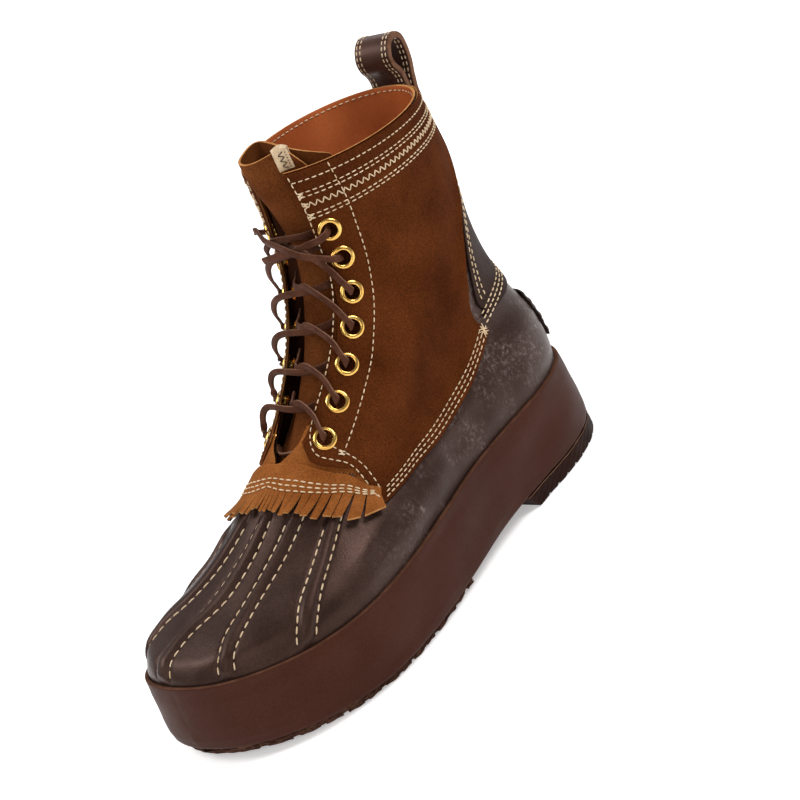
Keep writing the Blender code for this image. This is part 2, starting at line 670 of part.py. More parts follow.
def tongue_grid(levels, columns, off):
    """Points of the tongue sheet held off its middle by off mm."""
    def at(level, column):
        return tongue_point(level, column)
    grid = []
    for level in levels:
        row = []
        for column in columns:
            rise = at(level + 0.05, column) - at(level - 0.05, column)
            round_ = (at(level, min(column + 0.05, 7.2)) - at(level, max(column - 0.05, 0.0)))
            normal = np.cross(rise, round_)
            row.append(at(level, column) + normal / np.linalg.norm(normal) * off)
        grid.append(row)
    return np.array(grid)


def make_tongue():
    levels = [4.3, 4.6, 4.9, 5.3, 6.0, 6.8, 7.6, 8.2, 8.75, 9.2, 9.6, 10.0, 10.35]
    outer = tongue_grid(levels, TONGUE_COLUMNS, TONGUE_THICK / 2)
    inner = tongue_grid(levels, TONGUE_COLUMNS, -TONGUE_THICK / 2)
    return slab("tongue", outer, inner, SUEDE)


def make_tab():
    """Tape folded over the top edge of the tongue."""
    columns, levels = TONGUE_COLUMNS[2:4], [9.6, 10.0, 10.35]
    sheets = []
    for off, rise in ((TONGUE_THICK / 2 + 0.25, 0.3), (TONGUE_THICK / 2 + 1.05, 1.1)):
        front = tongue_grid(levels, columns, off)
        back = tongue_grid(levels, columns, -off)
        front[-1, :, 2] += rise
        back[-1, :, 2] += rise
        sheets.append(np.concatenate([front, back[::-1]]))
    return slab("tongue_tab", sheets[1], sheets[0], TAPE)


def make_welt(name, rows):
    """Raised welt with an arched top that follows the vamp."""
    outer, inner = [], []
    rows = np.array(rows)
    levels = np.linspace(rows[0, 0], rows[-1, 0], 8)
    table = rows[::-1]
    for level in levels:
        medial, lateral = smooth_rows(table, level)[0]
        turns = medial + (lateral - medial) * np.array([0.0, 0.25, 0.75, 1.0])
        outer.append([shell(level, turn, WELT_GAP + lift) for turn, lift in
                      zip(turns, (0.35, 1.35, 1.35, 0.35))])
        inner.append([shell(level, turn, WELT_GAP) for turn in turns])
    return slab(name, np.array(outer), np.array(inner), DARK)


def make_back_strap():
    step = 360.0 / ROUND
    turns = np.arange(-6, 7) * step
    edge = []
    for side in (1, -1):
        rows = [skin(level, side * half) for level, half in BACK_STRAP[::side]]
        edge += [(place[1], place[2]) for place in rows]
    return overlay("back_strap", turns, OVERLAY_GAP, OVERLAY_GAP + 1.2, DARK, edge, (-30.0, 90.0), True)


def make_heel_patch():
    outer, inner = [], []
    for level, half in HEEL_PATCH:
        turns = half * np.linspace(-1, 1, 7)
        lifts = (1.2, 2.2, 2.4, 2.2, 2.4, 2.2, 1.2)
        outer.append([shell(level, turn, CLEAR + lift) for turn, lift in zip(turns, lifts)])
        inner.append([shell(level, turn, CLEAR) for turn in turns])
    return slab("heel_patch", np.array(outer), np.array(inner), DARK)


def make_pull_loop():
    """Folded leather loop standing on the collar, its outer leg lying on the back strap."""
    rim = skin(TOP_LEVEL, PULL_LOOP_TURN)
    side = skin(TOP_LEVEL, PULL_LOOP_TURN + 3.0) - skin(TOP_LEVEL, PULL_LOOP_TURN - 3.0)
    side[2] = 0.0
    side /= np.linalg.norm(side)
    out = np.cross((0.0, 0.0, 1.0), side)
    path = np.array([rim + out * reach + (0, 0, rise) for reach, rise in PULL_LOOP])
    way = np.gradient(path, axis=0)
    way /= np.linalg.norm(way, axis=1, keepdims=True)
    across = np.cross(way, side)
    half_thick = 1.9
    width = np.linspace(-1, 1, 3)
    outer = np.array([[p + n * half_thick + side * w * PULL_LOOP_HALF_WIDTH for w in width]
                      for p, n in zip(path, across)])
    inner = np.array([[p - n * half_thick + side * w * PULL_LOOP_HALF_WIDTH for w in width]
                      for p, n in zip(path, across)])
    return slab("pull_loop", outer, inner, DARK)


def make_eyelets(seats):
    deep = -(OVERLAY_GAP + OVERLAY + UPPER_WALL + 0.5)
    low = EYELET_LIFT
    profile = [(EYELET_BORE, deep), (EYELET_BORE, low + 0.6), (4.6, low + 1.0),
               (EYELET_FLANGE, low + 0.25), (EYELET_FLANGE, low), (EYELET_BARREL, low),
               (EYELET_BARREL, deep)]
    for side, number, centre, normal, spoke, up in seats:
        turned("eyelet_%s_%d" % (side, number), centre, normal, spoke, profile, 9, BRASS)


def cord(name, route, radius, look, resolution=1):
    curve = bpy.data.curves.new(name, "CURVE")
    curve.dimensions = "3D"
    curve.bevel_depth = radius * MM
    curve.bevel_resolution = resolution
    curve.use_fill_caps = True
    line = curve.splines.new("POLY")
    route = placed(np.array(route))
    line.points.add(len(route) - 1)
    for point, place in zip(line.points, route):
        point.co = (*place, 1.0)
    thing = bpy.data.objects.new(name, curve)
    curve.materials.append(look)
    PARTS.objects.link(thing)
    return thing


def as_mesh(thing):
    """Plain mesh object in place of a curve."""
    bpy.context.view_layer.update()
    deps = bpy.context.evaluated_depsgraph_get()
    mesh = bpy.data.meshes.new_from_object(thing.evaluated_get(deps))
    work = bmesh.new()
    work.from_mesh(mesh)
    bmesh.ops.remove_doubles(work, verts=work.verts, dist=0.00001)
    bmesh.ops.recalc_face_normals(work, faces=work.faces)
    work.to_mesh(mesh)
    work.free()
    made = bpy.data.objects.new(thing.name + "_mesh", mesh)
    PARTS.objects.link(made)
    name = thing.name
    curve = thing.data
    bpy.data.objects.remove(thing)
    bpy.data.curves.remove(curve)
    made.name = name
    mesh.name = name
    return made


def throat_edge(height):
    rows = np.array(THROAT)
    return float(np.interp(height, rows[:, 0], rows[:, 1]))


def strand(side, start, end, over, sink=0.0):
    """Route out of one eyelet, over the throat and under the opposite eyestay."""
    sign = 1.0 if side == "lateral" else -1.0
    level_a, turn_a = EYELETS[start]
    level_b, turn_b = EYELETS[end]
    centre, normal = SEAT_AT[side, start]
    reach_a, reach_b = skin(level_a, turn_a)[1], -skin(level_b, turn_b)[1]
    edge = -throat_edge(skin((level_a + 2 * level_b) / 3, 180.0)[2])
    tail = [(edge + 5.0, 0.8 - 2 * sink), (edge + 2.4, -2.0 - 1.4 * sink),
            (edge + 0.2, -4.2 - 0.6 * sink), (edge - 2.6, -4.6 - 0.4 * sink)]
    far_part = []
    for across, out in over + tail:
        part = (reach_a - across) / (reach_a - reach_b)
        level = level_a + (level_b - level_a) * part
        far_part.append(at_throat(level, sign * across, out))
    toward = far_part[0] - centre
    toward -= normal * toward.dot(normal)
    toward /= np.linalg.norm(toward)
    near_part = [centre + toward * away + normal * height for away, height in
                 ((0.4, -2.6), (1.2, 0.4), (3.1, 3.5), (5.6, 3.4))]
    return near_part + far_part


def make_laces():
    for pair in range(1, 7):
        name = "lace_crossing_%d" % pair
        near = [(11.5, 4.9), (6.5, 4.4), (2.0, 3.9), (-2.5, 3.2)]
        far = [(12.5, 6.0), (7.5, 4.9), (2.5, 2.6), (-2.5, 1.6)]
        if pair == 1:
            far = [(12.5, 6.0), (7.5, 3.6), (2.5, 0.6), (-2.5, -1.2)]
        strand_far = cord(name, strand("medial", pair, pair - 1, far, float(pair == 1)), LACE_RADIUS,
                          LACE)
        strand_far = as_mesh(strand_far)
        if pair == 1:
            continue
        strand_near = as_mesh(cord(name + "_over", strand("lateral", pair, pair - 1, near),
                                   LACE_RADIUS, LACE))
        cut(strand_far, strand_near, operation="UNION")
        old = strand_near.data
        bpy.data.objects.remove(strand_near)
        bpy.data.meshes.remove(old)
    bar = [at_throat(5.30, across, -out) for across, out in
           ((13.0, 4.4), (9.0, 4.3), (4.0, 4.0), (-1.0, 3.8), (-5.0, 4.0), (-9.0, 4.3),
            (-13.0, 4.4))]
    as_mesh(cord("lace_bottom_bar", bar, LACE_RADIUS, LACE))


def out_of_eyelet(side, number, toward, steps):
    """First points of a cord: inside the bore, over the flange and away towards a point."""
    centre, normal = SEAT_AT[side, number - 1]
    way = np.asarray(toward, float) - centre
    way -= normal * way.dot(normal)
    way /= np.linalg.norm(way)
    return [centre + way * away + normal * height for away, height in steps]


def make_loose_laces():
    """The two free pieces of cord: the loop over the top of the lacing and the cut end."""
    leave = ((0.4, -2.6), (1.2, 0.4), (3.1, 3.5), (5.6, 3.9))
    over = [(124.0, 15.5, 184.0), (127.0, 10.5, 187.0), (128.5, 5.0, 190.5), (128.0, -2.0, 193.5),
            (126.0, -9.5, 195.5), (122.0, -18.0, 197.0), (117.0, -24.5, 198.0)]
    enter = out_of_eyelet("medial", 1, (104.0, -30.0, 204.0),
                          ((3.8, 6.6), (2.0, 3.4), (0.9, 0.2), (0.3, -2.6)))
    cord("lace_top_loop", out_of_eyelet("lateral", 2, over[0], leave) + over + enter,
         LACE_RADIUS, LACE, 2)
    end = [(121.5, 13.5, 191.0), (124.5, 6.5, 190.0), (126.0, -1.0, 188.5), (127.0, -7.5, 188.0),
           (127.0, -14.0, 187.5)]
    cord("lace_end", out_of_eyelet("lateral", 1, end[0], leave) + end, LACE_RADIUS, LACE, 2)


clear_scene()
PARTS = new_collection(NAME)
CUTTERS = new_collection("cutters", cutters=True)

DARK = material("dark_oiled_leather", (0.055, 0.034, 0.028), 0.42)
WRAP = material("wrap_leather", (0.075, 0.030, 0.022), 0.5)
HEEL = material("heel_rubber", (0.030, 0.016, 0.012), 0.7)
RUBBER = material("tread_rubber", (0.060, 0.030, 0.022), 0.85)
SUEDE = material("suede", (0.125, 0.048, 0.018), 0.95)
SUEDE_LIGHT = material("light_suede", (0.25, 0.105, 0.038), 0.95)
LINING = material("lining_leather", (0.22, 0.075, 0.028), 0.7)
TAPE = material("cream_tape", (0.66, 0.50, 0.33), 0.9)
BRASS = material("brass", (0.75, 0.47, 0.14), 0.28, 1.0)
LACE = material("lace_leather", (0.085, 0.036, 0.022), 0.6)

THROAT_EDGE = ([(lateral, height) for height, lateral, medial in THROAT]
               + [(medial, height) for height, lateral, medial in THROAT[::-1]])
THROAT_CUTTER = prism("throat_opening", THROAT_EDGE, (70.0, 250.0), True)
QUARTERS = {side: make_quarter(side, THROAT_CUTTER) for side in ("lateral", "medial")}
UPPER = make_upper(THROAT_CUTTER)
SEATS = eyelet_seats(QUARTERS)
SEAT_AT = {(side, number - 1): (centre, normal) for side, number, centre, normal, *_ in SEATS}
BORES = rod_cutter("eyelet_bores", [seat[2:] for seat in SEATS], EYELET_BARREL + 0.5, 8.0, 4.0)
for holed in (UPPER, *QUARTERS.values()):
    cut(holed, BORES)

make_platform()
make_insole()
make_heel_block()
make_tread()
make_apron()
make_tongue()
make_tab()
for welt, welt_rows in WELTS.items():
    make_welt(welt, welt_rows)
make_back_strap()
make_heel_patch()
make_pull_loop()
make_eyelets(SEATS)
make_laces()
make_loose_laces()
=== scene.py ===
# %% [markdown]
# # Duck boot
# This file dresses the frame of a left duck boot. It loads the plain solids, models the leather,
# suede, stitching, laces and brass that are seen, and sets a soft studio round them.
#
# Sizes are in millimetres: along (heel to toe), across (towards the lateral side) and up. One
# function turns them into metres, with the toe towards -Y.

# %% Frame
import math
import bpy
import numpy as np
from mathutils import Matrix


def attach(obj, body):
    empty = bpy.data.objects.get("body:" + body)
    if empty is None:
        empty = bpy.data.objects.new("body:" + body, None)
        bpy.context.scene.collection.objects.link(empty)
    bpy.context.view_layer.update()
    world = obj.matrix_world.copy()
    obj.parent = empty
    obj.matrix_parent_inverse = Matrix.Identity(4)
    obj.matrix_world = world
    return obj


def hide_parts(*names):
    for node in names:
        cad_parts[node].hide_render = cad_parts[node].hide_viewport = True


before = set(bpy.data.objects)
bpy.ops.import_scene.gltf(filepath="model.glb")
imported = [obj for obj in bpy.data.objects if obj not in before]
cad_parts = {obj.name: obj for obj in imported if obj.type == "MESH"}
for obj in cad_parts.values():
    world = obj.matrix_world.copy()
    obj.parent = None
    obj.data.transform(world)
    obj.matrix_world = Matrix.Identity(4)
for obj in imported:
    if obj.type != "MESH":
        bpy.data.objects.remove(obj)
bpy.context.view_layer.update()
print("solids loaded:", len(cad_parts))

# %% [markdown]
# ## The last and its sections
# A real boot is pulled over a last, and every panel is cut to lie on it. Here one table of
# sections does the last's work: each level gives the front, the back and the width of a loop
# round the foot. All the panels are read from the same surface, so they lie on each other as
# cut leather does. A turn runs from the heel (0) by the lateral side (90) to the toe (180).

# %% Named sizes
MM = 0.001
SOLE_LENGTH = 302.0
MIDDLE_ALONG = 144.5
MIDDLE_ACROSS = -2.64
HEEL_LIFT = 9.0
TREAD_THICK = 4.5
TOE_SPRING = 4.5
SPRING_FROM = 235.0
BREAST_TOP = 88.0
ARCH_END = 200.0
RISE_HEEL = 39.0
RISE_TOE = 38.0
CUP_INSET = 2.4
TOP_LEVEL = 10.0
UPPER_WALL = 1.6
SUEDE_GAP = 0.4
SUEDE_THICK = 1.6
THROAT_FOOT = 106.0
# a seam's points closer than this are merged, in metres; a hole cuts this far each way, in mm
SEAM_GAP = 0.00002
HOLE_REACH = 12.0

OUTLINE = np.array([
    # turn, lateral half width, medial half width
    (0, 0.0, 0.0), (15, 17.0, -17.0), (30, 29.5, -30.0), (45, 36.5, -37.0), (60, 38.5, -38.0),
    (75, 41.5, -37.0), (90, 48.0, -40.0), (105, 53.5, -49.0), (120, 54.0, -57.0),
    (135, 44.0, -60.0), (150, 26.5, -56.0), (165, 5.0, -43.0), (180, -20.0, -20.0)])

SECTIONS = np.array([
    # level, front along, front up, back along, back up, foot lateral, foot medial, oval lateral,
    # oval medial, lean of the back, hug of the platform's curve
    (0.0, 299.6, 40.3, 2.4, 41.3, 1.00, 1.00, 0.0, 0.0, 0.0, 1.0),
    (0.5, 299.2, 48.5, 2.2, 49.5, 1.00, 1.00, 0.0, 0.0, 0.0, 1.0),
    (1.0, 296.0, 54.5, 1.2, 57.0, 1.01, 1.00, 0.0, 0.0, 0.0, 0.8),
    (2.0, 285.0, 60.5, 2.0, 75.0, 0.93, 0.89, 0.0, 0.0, 0.0, 0.3),
    (3.0, 257.0, 69.0, 7.0, 93.0, 0.73, 0.68, 1.0, 0.0, 0.0, 0.0),
    (4.0, 227.0, 83.0, 12.0, 110.0, 0.47, 0.44, 10.5, 9.0, 0.0, 0.0),
    (5.0, 197.0, 103.0, 14.0, 126.0, 0.21, 0.15, 24.0, 19.0, 0.0, 0.0),
    (6.0, 167.0, 125.5, 13.0, 142.0, 0.04, 0.0, 30.5, 28.5, 0.0, 0.0),
    (7.0, 142.0, 149.5, 9.5, 159.0, 0.0, 0.0, 31.7, 32.5, -1.0, 0.0),
    (8.0, 126.0, 177.0, 7.0, 177.0, 0.0, 0.0, 35.0, 36.0, -4.0, 0.0),
    (9.0, 120.0, 203.5, 5.0, 195.0, 0.0, 0.0, 39.0, 39.5, -8.0, 0.0),
    (10.0, 118.0, 229.0, 3.0, 213.0, 0.0, 0.0, 41.0, 42.0, -12.0, 0.0)])

# throat opening seen from the front: height, half gap on the lateral side
THROAT = np.array([(106.0, 0.0), (108.5, 5.0), (111.0, 9.0), (118.0, 11.5), (131.0, 14.0),
                   (144.0, 16.0), (161.0, 16.0), (178.0, 15.5), (191.0, 14.0), (207.0, 12.0),
                   (229.0, 11.0), (262.0, 10.0)])
print("sections:", len(SECTIONS))


# %% The surface of the last
def smooth_rows(table, where):
    """Smooth curve through the rows of a table; its first column is the place on the curve."""
    place, value = table[:, 0], table[:, 1:]
    slope = np.gradient(value, place, axis=0)
    where = np.clip(np.atleast_1d(np.asarray(where, float)), place[0], place[-1])
    row = np.clip(np.searchsorted(place, where, side="right") - 1, 0, len(place) - 2)
    step = (place[row + 1] - place[row])[:, None]
    part = (where - place[row])[:, None] / step
    ease = 3 * part**2 - 2 * part**3
    return (value[row] * (1 - ease) + value[row + 1] * ease
            + slope[row] * step * (part**3 - 2 * part**2 + part)
            + slope[row + 1] * step * (part**3 - part**2))


def platform_bottom(along):
    arch = np.clip((along - BREAST_TOP) / (ARCH_END - BREAST_TOP), 0, 1)
    arch = arch * arch * (3 - 2 * arch)
    toe = np.clip((along - SPRING_FROM) / (SOLE_LENGTH - SPRING_FROM), 0, 1)
    return HEEL_LIFT + (TREAD_THICK - HEEL_LIFT) * arch + TOE_SPRING * toe**2


def platform_top(along):
    return platform_bottom(along) + RISE_HEEL + (RISE_TOE - RISE_HEEL) * along / SOLE_LENGTH


def dip(along):
    heel, toe = platform_top(0.0), platform_top(SOLE_LENGTH)
    return platform_top(along) - heel - (toe - heel) * along / SOLE_LENGTH


def skin(level, turn):
    """Outer face of the upper as (along, across, up)."""
    level, turn = np.broadcast_arrays(np.asarray(level, float), np.asarray(turn, float))
    shape = level.shape
    above = np.maximum(level.ravel() - TOP_LEVEL, 0.0)
    level, turn = np.minimum(level.ravel(), TOP_LEVEL), turn.ravel() % 360.0
    lateral = turn <= 180.0
    half = np.where(lateral, turn, 360.0 - turn)
    (front_along, front_up, back_along, back_up, foot_lateral, foot_medial, oval_lateral,
     oval_medial, lean, hug) = smooth_rows(SECTIONS, level).T
    outline = smooth_rows(OUTLINE, half)
    sine = np.sin(np.radians(half))
    share = (1 - np.cos(np.radians(half))) / 2
    inset = CUP_INSET * sine
    over_toe = np.clip((turn - 160.0) / 40.0, 0, 1)
    over_toe = over_toe * over_toe * (3 - 2 * over_toe)
    fill = foot_lateral + (foot_medial - foot_lateral) * over_toe
    foot = np.where(lateral, outline[:, 0] - inset, outline[:, 1] + inset) * fill
    oval = sine * np.where(lateral, oval_lateral, -oval_medial)
    along = back_along + (front_along - back_along) * share
    up = back_up + (front_up - back_up) * share + hug * dip(along)
    across = foot + oval + lean * (1 - share)
    return np.stack([along - 2 * above, across, up + 25 * above], 1).reshape(shape + (3,))


def outward(level, turn):
    """Direction square to the last's surface."""
    level, turn = np.broadcast_arrays(np.asarray(level, float), np.asarray(turn, float))
    rise = skin(np.minimum(level + 0.02, 10.0), turn) - skin(np.clip(level - 0.02, 0, 9.98), turn)
    normal = np.cross(rise, skin(level, turn + 0.5) - skin(level, turn - 0.5))
    return normal / np.linalg.norm(normal, axis=-1, keepdims=True)


def shell(level, turn, out):
    return skin(level, turn) + outward(level, turn) * np.asarray(out, float)[..., None]


def placed(point):
    """Metres in the shared frame from (along, across, up) in millimetres."""
    point = np.asarray(point, float)
    return np.stack([point[..., 1] - MIDDLE_ACROSS, MIDDLE_ALONG - point[..., 0],
                     point[..., 2]], -1) * MM


print("ball of the foot at", np.round(placed(skin(1.0, 120.0)), 3))

# %% [markdown]
# ## Camera, light and floor
# The boot stands flat on a pale floor. The camera looks down on its lateral side with the lens
# of a product shot, and is rolled, so that the boot tips toe-down in the picture. Large soft
# lights from above, the right and behind give the oiled leather its broad gloss.

# %% Studio
CAMERA_TURN = 51.8
CAMERA_RISE = 24.0
CAMERA_ROLL = 26.9
CAMERA_FAR = 1800.0
AIM = np.array([150.0, 0.0, 100.0])
SCALE_AT_AIM = 1.96
PHOTO_SIZE = 800.0
AIM_IN_PICTURE = (333.7, 424.7)


def look_through():
    """Camera from its turn, rise and roll, all in the boot's own directions."""
    turn, rise, roll = (math.radians(a) for a in (CAMERA_TURN, CAMERA_RISE, CAMERA_ROLL))
    toward = np.array([math.cos(turn) * math.cos(rise), math.sin(turn) * math.cos(rise),
                       math.sin(rise)])
    right = np.array([-math.sin(turn), math.cos(turn), 0.0])
    up = np.cross(toward, right)
    image_right = math.cos(roll) * right - math.sin(roll) * up
    image_up = math.sin(roll) * right + math.cos(roll) * up
    zero = placed(np.zeros(3))
    axes = [(placed(axis) - zero) / MM for axis in (image_right, image_up, toward)]
    bpy.ops.object.camera_add()
    camera = bpy.context.active_object
    camera.name = "camera"
    place = placed(AIM + toward * CAMERA_FAR)
    matrix = [[float(axis[k]) for axis in axes] + [float(place[k])] for k in range(3)]
    matrix.append([0.0, 0.0, 0.0, 1.0])
    camera.matrix_world = [[matrix[r][c] for r in range(4)] for c in range(4)]
    lens = camera.data
    lens.sensor_width = 36.0
    lens.lens = SCALE_AT_AIM * CAMERA_FAR * lens.sensor_width / PHOTO_SIZE
    lens.shift_x = (PHOTO_SIZE / 2 - AIM_IN_PICTURE[0]) / PHOTO_SIZE
    lens.shift_y = (AIM_IN_PICTURE[1] - PHOTO_SIZE / 2) / PHOTO_SIZE
    lens.clip_end = 20.0
    return camera


bpy.ops.object.select_all(action="DESELECT")
bpy.context.scene.camera = look_through()
print("lens", round(bpy.context.scene.camera.data.lens, 1), "mm")


def soft_light(name, where, toward, size, power, tint=(1.0, 1.0, 1.0)):
    """Area light at a place, turned to a point, both in metres."""
    where, toward = np.array(where), np.array(toward)
    way = where - toward
    way = way / np.linalg.norm(way)
    turn_about_up = math.atan2(way[1], way[0]) + math.pi / 2
    tip = math.acos(way[2])
    bpy.ops.object.light_add(type="AREA", location=tuple(where), rotation=(tip, 0, turn_about_up))
    lamp = bpy.context.active_object
    lamp.name = name
    lamp.data.shape = "RECTANGLE"
    lamp.data.size, lamp.data.size_y = size
    lamp.data.energy = power
    lamp.data.color = tint
    return lamp


soft_light("light_key", (0.9, 0.7, 1.5), (0, 0, 0.1), (0.9, 0.9), 22.0)
soft_light("light_front", (0.7, -1.3, 0.9), (0, 0, 0.1), (1.2, 0.8), 7.0)
soft_light("light_toe", (-0.9, -0.7, 1.3), (0, 0, 0.1), (0.8, 0.8), 15.0)
soft_light("light_back", (-1.0, 1.1, 1.2), (0, 0, 0.15), (1.0, 1.0), 7.0)

world = bpy.data.worlds.new("studio_air")
bpy.context.scene.world = world
world.use_nodes = True
world.node_tree.nodes["Background"].inputs["Color"].default_value = (1.0, 1.0, 1.0, 1.0)
world.node_tree.nodes["Background"].inputs["Strength"].default_value = 0.26
bpy.context.scene.view_settings.view_transform = "Standard"

# %% Floor
bpy.ops.object.select_all(action="DESELECT")
bpy.ops.mesh.primitive_plane_add(size=14.0, location=(0, 0, -0.0002))
floor = bpy.context.active_object
floor.name = "floor"
floor_paint = bpy.data.materials.new("floor_paint")
floor_paint.use_nodes = True
floor_shader = floor_paint.node_tree.nodes["Principled BSDF"]
floor_shader.inputs["Base Color"].default_value = (0.94, 0.94, 0.94, 1.0)
floor_shader.inputs["Roughness"].default_value = 0.9
floor_shader.inputs["Emission Color"].default_value = (1.0, 1.0, 1.0, 1.0)
floor_shader.inputs["Emission Strength"].default_value = 0.38
floor.data.materials.append(floor_paint)
print("floor set")

# %% [markdown]
# ## Materials
# Oiled leather is dark, with a fine grain, a soft broken gloss and paler rubbed patches. Suede is
# the napped inner face of the hide: no gloss, a fine speckle, and a paler tone where the nap is
# brushed. Each look is built from noise read in the piece's own coordinates, so it has the same
# scale all over the boot, and one builder makes them all from a few named numbers. Pale specks lie
# on the dark leather's sides and fade out before the toe: partly a waxy bloom, and partly painted
# glare highlights that stand in for the lamps' reflection on the grain.


# %% Look builder
# metres along the frame's Y, where the pale specks (part bloom, part painted glare highlight)
# begin behind the toe and where they are full
BLOOM_AND_GLARE_STARTS = -0.070
BLOOM_AND_GLARE_FULL = 0.010


def leather_look(name, dark, light, patch_mm, grain_mm, depth, gloss, nap=0.0, metal=0.0,
                 speckle=0.25, coat=0.0, shine=0.5, bloom_and_glare=0.0,
                 glint=(1.0, 0.58, 0.46)):
    """Procedural leather: patches of two tones, fine speckle, grain bump and broken gloss."""
    look = bpy.data.materials.new(name)
    look.use_nodes = True
    nodes, links = look.node_tree.nodes, look.node_tree.links
    shader = nodes["Principled BSDF"]
    where = nodes.new("ShaderNodeTexCoord").outputs["Object"]

    def stretch(value, low, high, to_low=0.0, to_high=1.0):
        node = nodes.new("ShaderNodeMapRange")
        for socket, number in (("From Min", low), ("From Max", high), ("To Min", to_low),
                               ("To Max", to_high)):
            node.inputs[socket].default_value = number
        links.new(value, node.inputs["Value"])
        return node.outputs["Result"]

    def noise(size_mm, detail, rough=0.55):
        node = nodes.new("ShaderNodeTexNoise")
        node.inputs["Scale"].default_value = 1000.0 / size_mm
        node.inputs["Detail"].default_value = detail
        node.inputs["Roughness"].default_value = rough
        links.new(where, node.inputs["Vector"])
        return node.outputs["Fac"]

    def ramp(value, stops):
        node = nodes.new("ShaderNodeValToRGB")
        for number, (at, colour) in enumerate(stops):
            stop = node.color_ramp.elements[number] if number < 2 else (
                node.color_ramp.elements.new(at))
            stop.position = at
            stop.color = (*colour, 1.0)
        links.new(value, node.inputs["Fac"])
        return node.outputs["Color"]

    def mixed(kind, part, first, second):
        node = nodes.new("ShaderNodeMix")
        node.data_type = "RGBA"
        node.blend_type = kind
        if isinstance(part, float):
            node.inputs["Factor"].default_value = part
        else:
            links.new(part, node.inputs["Factor"])
        links.new(first, node.inputs["A"])
        links.new(second, node.inputs["B"])
        return node.outputs["Result"]

    patches = ramp(noise(patch_mm, 3.0), [(0.34, dark), (0.66, light)])
    low, high = 1.0 - speckle, 1.0 + speckle
    flecks = ramp(noise(grain_mm * 1.6, 4.0, 0.7), [(0.32, (low,) * 3), (0.68, (high,) * 3)])
    colour = mixed("MULTIPLY", 1.0, patches, flecks)
    # pale specks: partly waxy bloom, partly painted glare highlights in place of lamp reflections
    if bloom_and_glare:
        fine = ramp(noise(2.6, 6.0, 0.75), [(0.50, (0,) * 3), (0.66, (bloom_and_glare,) * 3)])
        broad = ramp(noise(34.0, 3.0), [(0.42, (0,) * 3), (0.56, (1,) * 3)])
        bloom_and_glare_mask = mixed("MULTIPLY", 1.0, fine, broad)
        apart = nodes.new("ShaderNodeSeparateXYZ")
        links.new(where, apart.inputs["Vector"])
        fade = stretch(apart.outputs["Y"], BLOOM_AND_GLARE_STARTS, BLOOM_AND_GLARE_FULL)
        bloom_and_glare_mask = mixed("MULTIPLY", 1.0, bloom_and_glare_mask, fade)
        pale = ramp(noise(8.0, 2.0), [(0.3, (0.10, 0.074, 0.066)), (0.7, (0.24, 0.20, 0.185))])
        colour = mixed("MIX", bloom_and_glare_mask, colour, pale)
    links.new(colour, shader.inputs["Base Color"])

    bump = nodes.new("ShaderNodeBump")
    bump.inputs["Distance"].default_value = depth * MM
    bump.inputs["Strength"].default_value = 1.0
    links.new(noise(grain_mm, 5.0, 0.62), bump.inputs["Height"])
    links.new(bump.outputs["Normal"], shader.inputs["Normal"])

    links.new(stretch(noise(patch_mm * 0.6, 4.0), 0.3, 0.7, *gloss), shader.inputs["Roughness"])
    for socket, value in (("Metallic", metal), ("Coat Weight", coat), ("Coat Roughness", 0.35),
                          ("Specular IOR Level", shine), ("Specular Tint", (*glint, 1.0))):
        shader.inputs[socket].default_value = value
    if nap:
        shader.inputs["Sheen Weight"].default_value = nap
        shader.inputs["Sheen Tint"].default_value = (*light, 1.0)
        shader.inputs["Sheen Roughness"].default_value = 0.5
    return look


